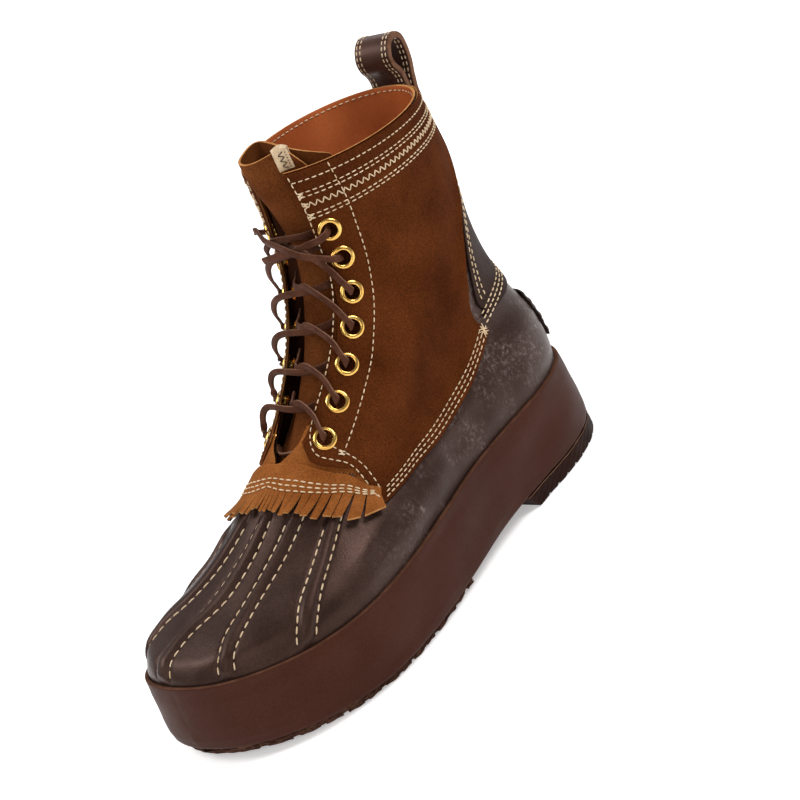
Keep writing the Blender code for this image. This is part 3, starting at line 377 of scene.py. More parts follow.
LOOKS = {
    # the dark leather's pale specks are partly bloom and partly painted glare highlights
    "dark": leather_look("oiled_leather", (0.0200, 0.0098, 0.0074), (0.037, 0.0205, 0.0162), 34,
                         0.9, 0.16, (0.27, 0.46), speckle=0.30, shine=0.30, bloom_and_glare=0.80),
    "strap": leather_look("strap_leather", (0.0200, 0.0098, 0.0074), (0.037, 0.0205, 0.0162), 34,
                          0.9, 0.12, (0.50, 0.66), speckle=0.28, shine=0.08),
    "wrap": leather_look("platform_leather", (0.036, 0.0104, 0.0060), (0.048, 0.0152, 0.0093), 55,
                         0.8, 0.06, (0.46, 0.62), speckle=0.16, shine=0.14),
    "edge_line": leather_look("platform_cut_edge", (0.060, 0.023, 0.013), (0.10, 0.043, 0.025), 9,
                              0.5, 0.05, (0.7, 0.9), shine=0.2),
    "edge_light": leather_look("sole_cut_edge", (0.13, 0.062, 0.034), (0.22, 0.115, 0.068), 7, 0.5,
                               0.05, (0.7, 0.9), shine=0.2),
    "suede": leather_look("suede", (0.048, 0.0112, 0.0025), (0.092, 0.0240, 0.0056), 42, 0.55,
                          0.22, (0.92, 1.0), nap=0.05, speckle=0.45, shine=0.05),
    "suede_tongue": leather_look("tongue_suede", (0.078, 0.0200, 0.0042), (0.136, 0.041, 0.0105), 30,
                                 0.5, 0.2, (0.92, 1.0), nap=0.07, speckle=0.42, shine=0.1),
    "suede_light": leather_look("light_suede", (0.190, 0.056, 0.0115), (0.285, 0.097, 0.0240), 26,
                                0.5, 0.2, (0.92, 1.0), nap=0.07, speckle=0.38, shine=0.1),
    "suede_edge": leather_look("suede_cut_edge", (0.36, 0.150, 0.045), (0.52, 0.250, 0.090), 5,
                               0.35, 0.15, (0.9, 1.0), speckle=0.35, shine=0.1),
    "lining": leather_look("lining_leather", (0.30, 0.066, 0.0150), (0.40, 0.100, 0.0260), 30, 0.5,
                           0.06, (0.55, 0.75), speckle=0.16, shine=0.25),
    # painted shade: dark tone for the lining next to the throat, standing in for the shade there
    "throat_shade": leather_look("painted_throat_shade", (0.022, 0.0075, 0.0034), (0.040, 0.0145, 0.0066), 20, 0.6,
                           0.1, (0.8, 0.95), speckle=0.3, shine=0.08),
    "black": leather_look("patch_leather", (0.012, 0.0070, 0.0055), (0.028, 0.0175, 0.0140), 9, 0.9,
                          0.3, (0.4, 0.6), shine=0.25),
    "loop": leather_look("loop_leather", (0.026, 0.0090, 0.0060), (0.048, 0.0190, 0.0130), 16, 0.8,
                         0.08, (0.34, 0.5), speckle=0.18, coat=0.05, shine=0.35),
    "loop_edge": leather_look("loop_cut_edge", (0.090, 0.038, 0.020), (0.16, 0.078, 0.045), 5, 0.5,
                              0.1, (0.7, 0.9), speckle=0.3, shine=0.2),
    "thread": leather_look("cream_thread", (0.56, 0.40, 0.24), (0.74, 0.58, 0.39), 6, 0.25, 0.12,
                           (0.7, 0.9), speckle=0.18, shine=0.2),
    "tape": leather_look("cream_tape", (0.50, 0.36, 0.21), (0.66, 0.51, 0.34), 5, 0.4, 0.12,
                         (0.8, 0.95), speckle=0.2, shine=0.2),
    "dark_thread": leather_look("dark_thread", (0.03, 0.02, 0.016), (0.06, 0.04, 0.03), 4, 0.3,
                                0.1, (0.6, 0.8)),
    "brass": leather_look("eyelet_brass", (0.70, 0.38, 0.085), (0.84, 0.53, 0.15), 6, 0.7, 0.02,
                          (0.16, 0.3), metal=1.0, speckle=0.08, glint=(1.0, 1.0, 1.0)),
    "lace": leather_look("lace_leather", (0.050, 0.0165, 0.0085), (0.092, 0.0350, 0.0195), 9, 0.5,
                         0.08, (0.5, 0.7), speckle=0.25, shine=0.12),
    "lace_edge": leather_look("lace_cut_edge", (0.12, 0.058, 0.036), (0.19, 0.102, 0.066), 4, 0.4,
                              0.06, (0.6, 0.8), speckle=0.3, shine=0.2),
    "heel": leather_look("heel_rubber", (0.011, 0.0038, 0.0024), (0.019, 0.0070, 0.0046), 20, 0.8,
                         0.12, (0.55, 0.75), speckle=0.2, shine=0.12),
    "tread": leather_look("tread_rubber", (0.036, 0.0155, 0.0098), (0.085, 0.040, 0.025), 5, 1.1,
                          0.5, (0.8, 0.95), speckle=0.45, shine=0.2),
}
print("looks:", ", ".join(LOOKS))

# %% [markdown]
# ## From a flat grid to a panel
# A maker cuts a flat panel and pulls it over the last. The helper does the same: it adds a flat
# grid, moves each point to its place on the last, and gives it the leather's thickness with
# Solidify, whose rim takes the raw edge's own material. Panels stay quads, so they shade softly.


# %% Panel helpers
def edit_all(*steps):
    """Select all of the active piece's mesh in edit mode and run mesh operators on it."""
    bpy.ops.object.mode_set(mode="EDIT")
    bpy.ops.mesh.select_all(action="SELECT")
    for step, settings in steps:
        step(**settings)
    bpy.ops.object.mode_set(mode="OBJECT")


def thicken(piece, name, thick, offset, rim):
    """Give a sheet its thickness in millimetres; rim is the material of its cut edge."""
    wall = piece.modifiers.new(name, "SOLIDIFY")
    wall.thickness = thick * MM
    wall.offset = offset
    wall.material_offset_rim = rim
    return wall


def panel(name, columns, rows, place, looks, thick=0.0, seam=False, holes=(), core=(0, 0, 90),
          tone=None, closed=False, smooth=50):
    """Grid shaped by place(u, v); holes are (centre, direction, radius) in millimetres.

    tone(u, v) picks a look for each face, and closed fills the ends and faces all outward."""
    bpy.ops.object.select_all(action="DESELECT")
    bpy.ops.mesh.primitive_grid_add(x_subdivisions=columns, y_subdivisions=rows, size=1.0)
    piece = bpy.context.active_object
    piece.name = piece.data.name = name
    mesh = piece.data
    flat = np.empty(len(mesh.vertices) * 3)
    mesh.vertices.foreach_get("co", flat)
    across, upward = np.clip(flat.reshape(-1, 3)[:, :2].T + 0.5, 0.0, 1.0)
    points = place(across, upward)
    mesh.vertices.foreach_set("co", placed(points).ravel())
    mesh.update()
    for look in looks:
        mesh.materials.append(LOOKS[look])
    if tone:
        tones = tone(across, upward)
        mesh.polygons.foreach_set("material_index", [int(round(float(
            np.mean(tones[list(face.vertices)])))) for face in mesh.polygons])
    if len(holes):
        middle = np.array([np.mean(points[list(face.vertices)], axis=0) for face in mesh.polygons])
        gone = np.zeros(len(middle), bool)
        for centre, way, radius in holes:
            arm = middle - centre
            rise = arm @ way
            aside = np.linalg.norm(arm - rise[:, None] * way, axis=1)
            gone |= (aside < radius) & (abs(rise) < HOLE_REACH)
        bpy.ops.object.mode_set(mode="EDIT")
        bpy.ops.mesh.select_all(action="DESELECT")
        bpy.ops.object.mode_set(mode="OBJECT")
        mesh.polygons.foreach_set("select", gone)
        bpy.ops.object.mode_set(mode="EDIT")
        bpy.ops.mesh.delete(type="FACE")
        bpy.ops.object.mode_set(mode="OBJECT")
    if seam or closed:
        edit_all((bpy.ops.mesh.remove_doubles, {"threshold": SEAM_GAP}))
    if closed:
        edit_all((bpy.ops.mesh.fill_holes, {"sides": 0}),
                 (bpy.ops.mesh.normals_make_consistent, {"inside": False}))
    elif core is not None:
        face_out(piece, core)
    if thick:
        thicken(piece, "wall", thick, -1.0, len(looks) - 1).use_even_offset = True
        bpy.ops.object.modifier_apply(modifier="wall")
    bpy.ops.object.shade_smooth_by_angle(angle=math.radians(smooth))
    return piece


def face_out(piece, core):
    """Turn the faces so that they look away from a core point, less strictly along the boot."""
    middle = placed(np.array(core, float))
    sign = 0.0
    for face in piece.data.polygons:
        away = np.array(face.center) - middle
        away[1] *= 0.35
        sign += float(np.dot(face.normal, away)) * face.area
    if sign < 0:
        piece.data.flip_normals()


def seated(piece, nodes):
    """Tie a finished piece to the frame and hide the solids that it replaces."""
    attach(piece, "root")
    if nodes:
        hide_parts(*nodes)
    faces = sum(len(face.vertices) - 2 for face in piece.data.polygons)
    print(piece.name, faces, "triangles")
    return piece


def spread(part, first=0.002, second=0.006):
    """Grid shares with two close lines along each border, for a soft rolled edge."""
    step = 1.0 / 120
    return np.interp(part, [0, step, 2 * step, 1 - 2 * step, 1 - step, 1],
                     [0, first, second, 1 - second, 1 - first, 1])


def rolled(part_a, part_b, width=0.006):
    """How far a border is rolled down: 1 on the border, 0 inside."""
    near = np.minimum(np.minimum(part_a, 1 - part_a), np.minimum(part_b, 1 - part_b))
    return np.clip(1 - near / width, 0, 1) ** 2


def throat_turn(level, side="lateral"):
    """Turn of the throat's edge on one side at a level; 180 below its foot."""
    level = np.atleast_1d(np.asarray(level, float))
    first, front, sign = (120.0, -1, -1.0) if side == "lateral" else (180.0, 0, 1.0)
    turns = np.linspace(first, first + 60.0, 121)
    out = []
    for one in level.ravel():
        ring = skin(one, turns)
        gap = np.interp(ring[front, 2], THROAT[:, 0], THROAT[:, 1])
        below = ring[front, 2] < THROAT_FOOT
        out.append(180.0 if below else np.interp(sign * gap, -ring[:, 1], turns))
    return np.array(out).reshape(level.shape)


print("throat edge at the collar: turn", np.round(throat_turn(10.0), 1))

# %% [markdown]
# ## Eyelets' places
# Seven brass eyelets run down each eyestay. Their places are written once, because the holes in
# the suede and in the upper, the rings and the laces all meet there.

# %% Eyelet places
EYELETS = [(8.64, 146.5), (8.02, 142.0), (7.36, 137.5), (6.76, 136.5), (6.18, 137.5),
           (5.66, 140.5), (5.18, 144.5)]
EYELET_OUT = 2.15


def seat_of(side, number):
    """Centre and outward direction of an eyelet, counted from the collar."""
    level, turn = EYELETS[number - 1]
    turn = turn if side == "lateral" else 360.0 - turn
    return shell(level, turn, EYELET_OUT), outward(level, turn)


SEATS = {(side, number): seat_of(side, number) for side in ("lateral", "medial")
         for number in range(1, 8)}
print("eyelets:", len(SEATS))

# %% [markdown]
# ## The upper
# The foot of the boot is one vamp of dark oiled leather. Pairs of stitch rows run from the fringe
# to the toe and pinch a raised ridge between them. The leather also has soft dents where it has
# been pulled and worn. The grid is read from the last, and one relief function lifts the ridges
# and sinks the dents, so they can be moved by hand.

# %% Relief of the vamp
RIDGES = {
    # level, turn of the medial edge, turn of the lateral edge
    "lateral_outer": [(0.45, 139.0, 134.5), (1.0, 139.0, 134.0), (1.5, 138.5, 133.0),
                      (2.2, 138.0, 131.5), (2.8, 136.0, 129.0), (3.45, 134.0, 127.0)],
    "lateral": [(0.45, 162.0, 157.5), (1.0, 162.5, 158.0), (1.5, 162.5, 158.0),
                (2.3, 163.5, 157.0), (2.8, 162.0, 155.0), (3.4, 159.0, 150.5),
                (4.1, 156.0, 147.0)],
    "middle": [(0.45, 187.0, 181.0), (1.1, 187.5, 181.5), (1.7, 188.0, 182.0),
               (2.4, 186.0, 180.0), (3.0, 181.0, 172.5), (3.6, 178.0, 169.5),
               (4.3, 175.0, 168.0)],
    "medial": [(0.45, 211.0, 205.0), (1.0, 211.5, 205.0), (1.5, 212.0, 205.5),
               (2.2, 213.0, 205.0), (2.8, 207.0, 198.0), (3.5, 201.0, 190.5),
               (4.2, 196.0, 187.0)],
    "medial_outer": [(0.45, 231.0, 226.0), (1.0, 231.5, 226.0), (1.5, 232.0, 226.0),
                     (2.4, 230.0, 223.0), (3.0, 225.0, 217.5), (3.6, 218.5, 211.5)]}
RIDGE_HEIGHT = 1.9
DENTS = [
    # level and turn of one end, level and turn of the other, half width, depth (minus is a swell)
    (1.35, 112.0, 1.9, 96.0, 7.0, 0.9), (2.05, 92.0, 1.5, 76.0, 6.0, 0.8),
    (1.2, 84.0, 1.75, 66.0, 6.5, 0.7), (2.2, 64.0, 1.8, 50.0, 6.0, 0.6),
    (1.5, 100.0, 1.3, 84.0, 9.0, -0.7), (1.9, 74.0, 2.2, 60.0, 8.0, -0.6),
    (2.5, 120.0, 1.6, 122.0, 7.0, 0.5), (1.1, 124.0, 1.6, 112.0, 6.0, 0.4),
    (2.1, 146.0, 1.2, 148.0, 10.0, 0.5), (2.0, 172.0, 1.3, 172.0, 9.0, 0.5),
    (1.9, 197.0, 1.2, 197.0, 10.0, 0.5), (1.35, 248.0, 1.9, 264.0, 7.0, 0.8),
    (2.05, 268.0, 1.5, 284.0, 6.0, 0.7), (1.2, 276.0, 1.8, 294.0, 6.5, 0.7),
    (2.3, 296.0, 1.7, 310.0, 6.0, 0.6), (1.6, 330.0, 1.9, 344.0, 6.0, 0.4)]


def relief(level, turn):
    """Height of the dark leather over the last, in millimetres."""
    level, turn = np.broadcast_arrays(np.asarray(level, float), np.asarray(turn, float) % 360.0)
    out = np.zeros(level.shape)
    for rows in RIDGES.values():
        rows = np.array(rows)
        edges = smooth_rows(rows, level.ravel()).reshape(level.shape + (2,))
        part = (turn - edges[..., 1]) / (edges[..., 0] - edges[..., 1])
        fade = np.clip((rows[-1, 0] + 0.3 - level) / 0.3, 0, 1)
        raised = RIDGE_HEIGHT * np.clip(1 - np.abs(2 * part - 1) ** 3.0, 0, 1)
        pinch = 0.6 * (np.exp(-((part + 0.04) / 0.12) ** 2) + np.exp(-((part - 1.04) / 0.12) ** 2))
        out = out + fade * (raised - pinch)
    place = skin(level, turn)
    for level_a, turn_a, level_b, turn_b, half, depth in DENTS:
        one, two = skin(level_a, turn_a), skin(level_b, turn_b)
        line = two - one
        part = np.clip(((place - one) @ line) / (line @ line), 0, 1)
        away = np.linalg.norm(place - one - part[..., None] * line, axis=-1) / half
        out = out - depth * np.exp(-away**2)
    wave = (0.22 * np.sin(place[..., 0] / 7.3 + 1.9 * np.sin(place[..., 2] / 8.1))
            * np.sin(place[..., 2] / 6.1 + 1.3 * np.sin(place[..., 0] / 11.7)))
    return out + wave * np.clip((3.4 - level) / 1.5, 0, 1) * np.clip((level - 0.8) / 0.5, 0, 1)


print("ridge top over the toe:", np.round(relief(1.5, 160.2), 2), "mm")

# %% Dark leather of the upper
UPPER_ROWS = np.array([(0.0, 0.3), (0.1, 0.95), (0.55, 3.4), (0.75, 5.4), (1.0, 10.0)])


def upper_lines(u, v):
    level = np.interp(v, UPPER_ROWS[:, 0], UPPER_ROWS[:, 1])
    first = np.interp(level, LEVELS_AT, FIRST_AT)
    last = np.interp(level, LEVELS_AT, LAST_AT) - 360.0
    return level, first + (last - first) * u


def upper_tone(u, v):
    """Dark leather, with light suede under the foot of the throat and suede above it."""
    level, turn = upper_lines(u, v)
    front = np.abs(np.where(turn < 0, -turn, turn))
    line = np.interp(front, [100.0, 108.0, 112.0, 118.0, 125.0, 138.0, 155.0, 180.0],
                     [11.0, 3.0, 3.1, 3.6, 4.1, 4.5, 4.9, 5.05])
    return np.where(level > 5.6, 2.0 * (front > 60.0), 1.0 * (level > line))


def upper_place(u, v):
    level, turn = upper_lines(u, v)
    near_rim = np.clip((0.75 - level) / 0.3, 0, 1)
    return shell(level, turn, relief(level, turn) * (1 - near_rim))


LEVELS_AT = np.linspace(0.0, 10.0, 201)
FIRST_AT = throat_turn(LEVELS_AT)
LAST_AT = throat_turn(LEVELS_AT, "medial")
HOLES = [(centre, way, 4.9) for centre, way in SEATS.values()]
upper_leather = panel("upper_leather", 470, 150, upper_place, ["dark", "suede_light", "suede"],
                      seam=True, holes=HOLES, tone=upper_tone)
seated(upper_leather, ["upper", "vamp_welt_lateral_outer", "vamp_welt_lateral", "vamp_welt_middle",
                       "vamp_welt_medial", "vamp_welt_medial_outer"])


# %% Lining
def lining_place(u, v):
    level = np.interp(v, [0.0, 0.93, 0.96, 1.0], [0.3, 9.97, 10.0, 10.0])
    out = np.interp(v, [0.0, 0.93, 0.96, 1.0], [-UPPER_WALL, -UPPER_WALL, -1.1, 0.2])
    first = np.interp(level, LEVELS_AT, FIRST_AT)
    last = np.interp(level, LEVELS_AT, LAST_AT) - 360.0
    place = shell(level, first + (last - first) * u, out)
    place[:, 2] += np.interp(v, [0.0, 0.93, 0.96, 1.0], [0.0, 0.0, 0.5, 0.5])
    return place


def lining_tone(u, v):
    """Raw edge at the rim, and painted shade on the lining next to the throat."""
    # painted shade: the lining's front columns, inside the throat, take the dark tone
    in_throat_shade = (np.minimum(u, 1 - u) < 0.17) & (v > 0.3) & (v < 0.88)
    return np.where(v > 0.95, 1.0, 2.0 * in_throat_shade)


lining = panel("upper_lining", 200, 90, lining_place, ["lining", "suede_edge", "throat_shade"], seam=True,
               holes=HOLES, tone=lining_tone)
lining.data.flip_normals()
seated(lining, [])

# %% [markdown]
# ## The suede quarters
# Each quarter is one panel of brown suede from the collar to the vamp, with a rolled edge, a hole
# at each eyelet and a raw edge that shows the paler core. Its four borders are short tables of
# level and turn, and the grid between them is blended from the borders.

# %% Quarter borders
QUARTER_FOOT = np.array([
    # level, turn, from the back corner to the foot of the throat
    (3.05, 51.5), (2.95, 53.5), (2.70, 58.5), (2.42, 66.0), (2.27, 75.0), (2.24, 83.0),
    (2.36, 92.0), (2.42, 99.0), (2.52, 107.0), (2.84, 109.8), (3.28, 113.5), (3.75, 118.0),
    (4.20, 125.0), (4.55, 136.0), (4.93, 150.5), (5.34, 160.0)])
QUARTER_BACK = np.array([
    # level, turn, from the back corner to the collar
    (3.05, 51.5), (3.14, 50.0), (3.7, 53.5), (4.5, 55.5), (5.4, 55.0), (6.3, 50.0), (7.0, 42.0),
    (8.0, 31.0), (9.0, 24.0), (10.0, 20.0)])


def by_length(table, part):
    """Level and turn at a share of the way along a border, measured on the last."""
    dense = np.linspace(0, len(table) - 1, 12 * len(table))
    rows = np.stack([np.interp(dense, np.arange(len(table)), table[:, k]) for k in (0, 1)], 1)
    points = skin(rows[:, 0], rows[:, 1])
    length = np.concatenate([[0], np.cumsum(np.linalg.norm(np.diff(points, axis=0), axis=1))])
    return np.stack([np.interp(part, length / length[-1], rows[:, k]) for k in (0, 1)], 1)


def quarter_map(u, v):
    """Level and turn at a share from the front (u) and from the foot (v), lateral side."""
    front_levels = np.linspace(5.34, 10.0, 60)
    front = np.stack([front_levels, throat_turn(front_levels)], 1)
    foot = by_length(QUARTER_FOOT, 1 - u)
    top = by_length(np.array([front[-1], (10.0, 120.0), (10.0, 70.0), QUARTER_BACK[-1]]), u)
    left, right = by_length(front, v), by_length(QUARTER_BACK, v)
    u, v = u[:, None], v[:, None]
    corners = ((1 - u) * (1 - v) * front[0] + u * (1 - v) * QUARTER_BACK[0]
               + (1 - u) * v * front[-1] + u * v * QUARTER_BACK[-1])
    return (1 - v) * foot + v * top + (1 - u) * left + u * right - corners


def quarter_place(side):
    def place(u, v):
        u, v = spread(u), spread(v)
        level, turn = quarter_map(u, v).T
        flare = 1.6 * np.clip(1 - (1 - u) / 0.10, 0, 1) ** 2 * np.clip((v - 0.12) / 0.2, 0, 1)
        flare = flare * np.clip((1.0 - v) / 0.25, 0, 1)
        fold = 0.5 * np.sin(turn / 9.0 + level * 1.7) * np.clip((9.0 - level) / 2, 0, 1)
        fold = fold * np.clip((level - 3.0) / 2, 0, 1) * np.clip((130 - turn) / 20, 0, 1)
        out = SUEDE_GAP + SUEDE_THICK + flare + fold - 0.45 * rolled(u, v)
        return shell(level, turn if side == "lateral" else 360.0 - turn, out)
    return place


for side in ("lateral", "medial"):
    quarter = panel("quarter_suede_" + side, 150, 110, quarter_place(side),
                    ["suede", "suede_edge"], thick=SUEDE_THICK, holes=HOLES)
    seated(quarter, ["quarter_" + side])

# %% [markdown]
# ## Stitching
# A stitch is a short thread that lies on the leather and dips at both ends. One is modelled from
# a sphere, drawn out and flattened, and its points are then copied along each seam by arrays.
# Each seam is a short table of level and turn, with its own stitch length.

# %% One stitch
bpy.ops.object.select_all(action="DESELECT")
bpy.ops.mesh.primitive_uv_sphere_add(segments=8, ring_count=5, radius=0.5)
stitch = bpy.context.active_object
edit_all((bpy.ops.transform.rotate, {"value": math.pi / 2, "orient_axis": "Y",
                                     "center_override": (0, 0, 0)}))
STITCH_POINTS = np.array([tuple(v.co) for v in stitch.data.vertices])
STITCH_POINTS[:, 0] = 0.5 * np.sign(STITCH_POINTS[:, 0]) * (2 * np.abs(STITCH_POINTS[:, 0])) ** 0.6
STITCH_POINTS[:, 2] -= 0.35 * (2 * np.abs(STITCH_POINTS[:, 0])) ** 3
STITCH_FACES = [tuple(face.vertices) for face in stitch.data.polygons]
bpy.data.objects.remove(stitch)
print("one stitch:", len(STITCH_FACES), "faces")


def thread(points, normals, pitch, length):
    """Start, end and normal of each stitch along a line of points."""
    step = np.linalg.norm(np.diff(points, axis=0), axis=1)
    far = np.concatenate([[0], np.cumsum(step)])
    count = max(1, int(round(far[-1] / pitch)))
    starts = (np.arange(count) + 0.5 * (1 - length / pitch)) * far[-1] / count
    at = [np.stack([np.interp(starts + shift, far, points[:, k]) for k in range(3)], 1)
          for shift in (0.0, length)]
    up = np.stack([np.interp(starts + length / 2, far, normals[:, k]) for k in range(3)], 1)
    return list(zip(at[0], at[1], up))


def seam_rows(table, out, side="lateral"):
    """Dense points and normals along a table of level and turn; out is a height or function."""
    table = np.array(table, float)
    dense = np.linspace(0, len(table) - 1, 40 * len(table))
    rows = smooth_rows(np.column_stack([np.arange(len(table)), table]), dense)
    turn = rows[:, 1] if side == "lateral" else 360.0 - rows[:, 1]
    lift = out(rows[:, 0], turn) if callable(out) else np.full(len(rows), out)
    return shell(rows[:, 0], turn, lift), outward(rows[:, 0], turn)


def stitches(name, strokes, look="thread", width=0.85, height=0.75):
    """One mesh from many stitches, each given by its start, its end and a normal."""
    points = []
    for start, end, up in strokes:
        way = end - start
        length = np.linalg.norm(way)
        way = way / length
        up = up - way * up.dot(way)
        up = up / np.linalg.norm(up)
        frame_of = np.stack([way * length, np.cross(up, way) * width, up * height])
        points.append((start + end) / 2 + STITCH_POINTS @ frame_of)
    count = len(STITCH_POINTS)
    faces = [tuple(k * count + v for v in face) for k in range(len(points))
             for face in STITCH_FACES]
    mesh = bpy.data.meshes.new(name)
    mesh.from_pydata([tuple(p) for p in placed(np.concatenate(points))], [], faces)
    piece = bpy.data.objects.new(name, mesh)
    bpy.context.scene.collection.objects.link(piece)
    bpy.context.view_layer.objects.active = piece
    bpy.ops.object.select_all(action="DESELECT")
    piece.select_set(True)
    edit_all((bpy.ops.mesh.normals_make_consistent, {"inside": False}))
    mesh.materials.append(LOOKS[look])
    mesh.shade_smooth()
    return seated(piece, [])


# %% Seams of the vamp
VAMP_PITCH = 5.6
VAMP_STITCH = 4.2
vamp_strokes = []
for rows in RIDGES.values():
    rows = np.array(rows)
    for edge, nudge in ((1, 0.35), (2, -0.35)):
        table = np.column_stack([rows[:, 0], rows[:, edge] + nudge])
        table = np.concatenate([[(0.62, np.interp(0.62, rows[:, 0], table[:, 1]))], table[1:]])
        line = seam_rows(table, lambda level, turn: relief(level, turn) + 0.30)
        vamp_strokes += thread(*line, VAMP_PITCH, VAMP_STITCH)
stitches("vamp_stitching", vamp_strokes, width=1.0)


# %% Seams of the quarters
def raised(table, distance):
    """The same line moved up the last by a distance in millimetres."""
    table = np.array(table, float)
    rise = np.linalg.norm(skin(table[:, 0] + 0.05, table[:, 1])
                          - skin(table[:, 0] - 0.05, table[:, 1]), axis=1) / 0.1
    return np.column_stack([table[:, 0] + distance / rise, table[:, 1]])


FRONT_ROW = [(9.96, 160.5), (9.44, 158.5), (8.66, 156.5), (8.16, 154.5), (7.74, 151.5),
             (7.10, 150.5), (6.48, 151.0), (6.0, 153.5), (5.6, 155.5), (5.3, 154.0), (5.0, 148.0),
             (4.72, 138.0), (4.46, 130.0), (4.18, 124.5), (3.80, 119.5), (3.22, 113.5),
             (2.9, 111.2)]
SECOND_FRONT_ROW = [(4.98, 140.0), (4.80, 135.0), (4.56, 129.0), (4.28, 123.5), (3.90, 118.0),
                    (3.34, 112.2), (3.0, 109.8)]
EYESTAY_ROW = [(10.0, 134.0), (9.1, 131.0), (8.4, 129.5), (7.54, 125.5), (6.96, 123.0),
               (6.42, 122.0), (5.94, 122.0), (5.46, 125.0), (4.98, 129.0), (4.72, 131.5)]
BACK_STOP = [(9.97, 21.5), (9.6, 22.5), (9.05, 24.5)]
COLLAR_ROWS = [(9.80, 160.5, 21.5), (9.55, 158.5, 22.0), (9.46, 158.2, 22.2),
               (9.06, 156.5, 24.5), (8.98, 156.5, 24.8)]
ZIGZAG_LEVEL = 9.27
SUEDE_TOP = SUEDE_GAP + SUEDE_THICK + 0.28
foot_line = QUARTER_FOOT[1:9]
quarter_strokes = []
for side in ("lateral", "medial"):
    for distance in (2.6, 5.4, 8.2):
        line = seam_rows(raised(foot_line, distance), SUEDE_TOP, side)
        quarter_strokes += thread(*line, 4.1, 2.9)
    for table in (FRONT_ROW, SECOND_FRONT_ROW, EYESTAY_ROW):
        quarter_strokes += thread(*seam_rows(table, SUEDE_TOP, side), 3.7, 2.6)
    for level, first, last in COLLAR_ROWS:
        table = [(level, turn) for turn in np.linspace(first, last, 9)]
        quarter_strokes += thread(*seam_rows(table, SUEDE_TOP, side), 3.7, 2.6)
    table = [(ZIGZAG_LEVEL, turn) for turn in np.linspace(157.5, 23.5, 9)]
    points, normals = seam_rows(table, SUEDE_TOP, side)
    length = np.concatenate([[0], np.cumsum(np.linalg.norm(np.diff(points, axis=0), axis=1))])
    corners = np.arange(0, length[-1], 1.9)
    at = np.stack([np.interp(corners, length, points[:, k]) for k in range(3)], 1)
    up = np.stack([np.interp(corners, length, normals[:, k]) for k in range(3)], 1)
    at[::2, 2] += 1.5
    at[1::2, 2] -= 1.5
    quarter_strokes += [(at[k], at[k + 1], up[k]) for k in range(len(at) - 1)]
stitches("quarter_stitching", quarter_strokes, width=0.7)

# %% [markdown]
# ## The fringed apron
# A lighter suede apron covers the foot of the throat, and its lower edge is cut into narrow
# strips that curl off the vamp. The sheet and each strip are grids on the last, with strips of
# slightly different length, lift and slant, joined into one piece.

# %% Apron and fringe
APRON = np.array([
    # share, top level, top turn, seam level, seam turn, fringe level, fringe turn
    (0.0, 5.12, 176.0, 4.78, 176.0, 4.46, 176.0), (0.25, 5.10, 167.0, 4.68, 166.0, 4.36, 166.0),
    (0.45, 4.95, 154.5, 4.50, 153.0, 4.20, 155.0), (0.65, 4.49, 137.0, 4.16, 138.0, 3.84, 141.0),
    (0.82, 4.02, 124.6, 3.72, 125.0, 3.32, 128.0), (0.93, 3.44, 115.6, 3.24, 116.0, 2.84, 117.5),
    (1.0, 3.06, 109.6, 2.88, 109.2, 2.42, 107.0)])
FRINGE_STRIPS = 27
APRON_THICK = 1.3
APRON_OUT = 2.6


def apron_rows(share):
    """Level and turn of the top edge, seam and fringe line at shares from -1 to 1."""
    share = np.asarray(share, float)
    rows = smooth_rows(APRON, np.abs(share))
    flip = rows.copy()
    flip[:, 1::2] = 360.0 - rows[:, 1::2] - 8.0 * (1 - np.abs(share))[:, None]
    return np.where(share[:, None] >= 0, rows, flip)


def apron_place(u, v):
    u, v = spread(u, 0.003, 0.008), spread(v, 0.02, 0.05)
    rows = apron_rows(1 - 2 * u)
    level = rows[:, 2] + (rows[:, 0] - rows[:, 2]) * v
    turn = rows[:, 3] + (rows[:, 1] - rows[:, 3]) * v
    return shell(level, turn, APRON_OUT - 0.3 * rolled(u, v, 0.02))


def strip_place(number):
    """Fringe strip: its slant, length and curl come from its number."""
    low = 1 - 2 * (number + 1) / FRINGE_STRIPS
    high = 1 - 2 * number / FRINGE_STRIPS
    sway = 0.22 * math.sin(number * 2.4)
    reach = 1.0 + 0.09 * math.sin(number * 1.7 + 0.6)
    curl = 2.3 + 0.9 * math.sin(number * 2.9)

    def place(u, v):
        gap = 0.0035 + 0.0055 * v
        share = (high - gap) + (low + 2 * gap - high) * u
        rows = apron_rows(np.clip(share + sway * 0.04 * v, -1, 1))
        level = rows[:, 2] + (rows[:, 4] - rows[:, 2]) * v * reach
        turn = rows[:, 3] + (rows[:, 5] - rows[:, 3]) * v * reach
        crown = 0.5 * np.sin(np.pi * u)
        return shell(level, turn, APRON_OUT - 0.1 + crown * v + curl * v**1.6)
    return place


def join_all(pieces, name):
    bpy.ops.object.select_all(action="DESELECT")
    for piece in pieces:
        piece.select_set(True)
    bpy.context.view_layer.objects.active = pieces[0]
    bpy.ops.object.join()
    pieces[0].name = pieces[0].data.name = name
    return pieces[0]


apron_pieces = [panel("apron", 110, 24, apron_place, ["suede_light", "suede_edge"],
                      thick=APRON_THICK, core=(150, 0, 60))]
for number in range(FRINGE_STRIPS):
    apron_pieces.append(panel("strip", 5, 10, strip_place(number), ["suede_light", "suede_edge"],
                              thick=APRON_THICK, core=(150, 0, 60)))
seated(join_all(apron_pieces, "fringed_apron_suede"), ["fringed_apron"])

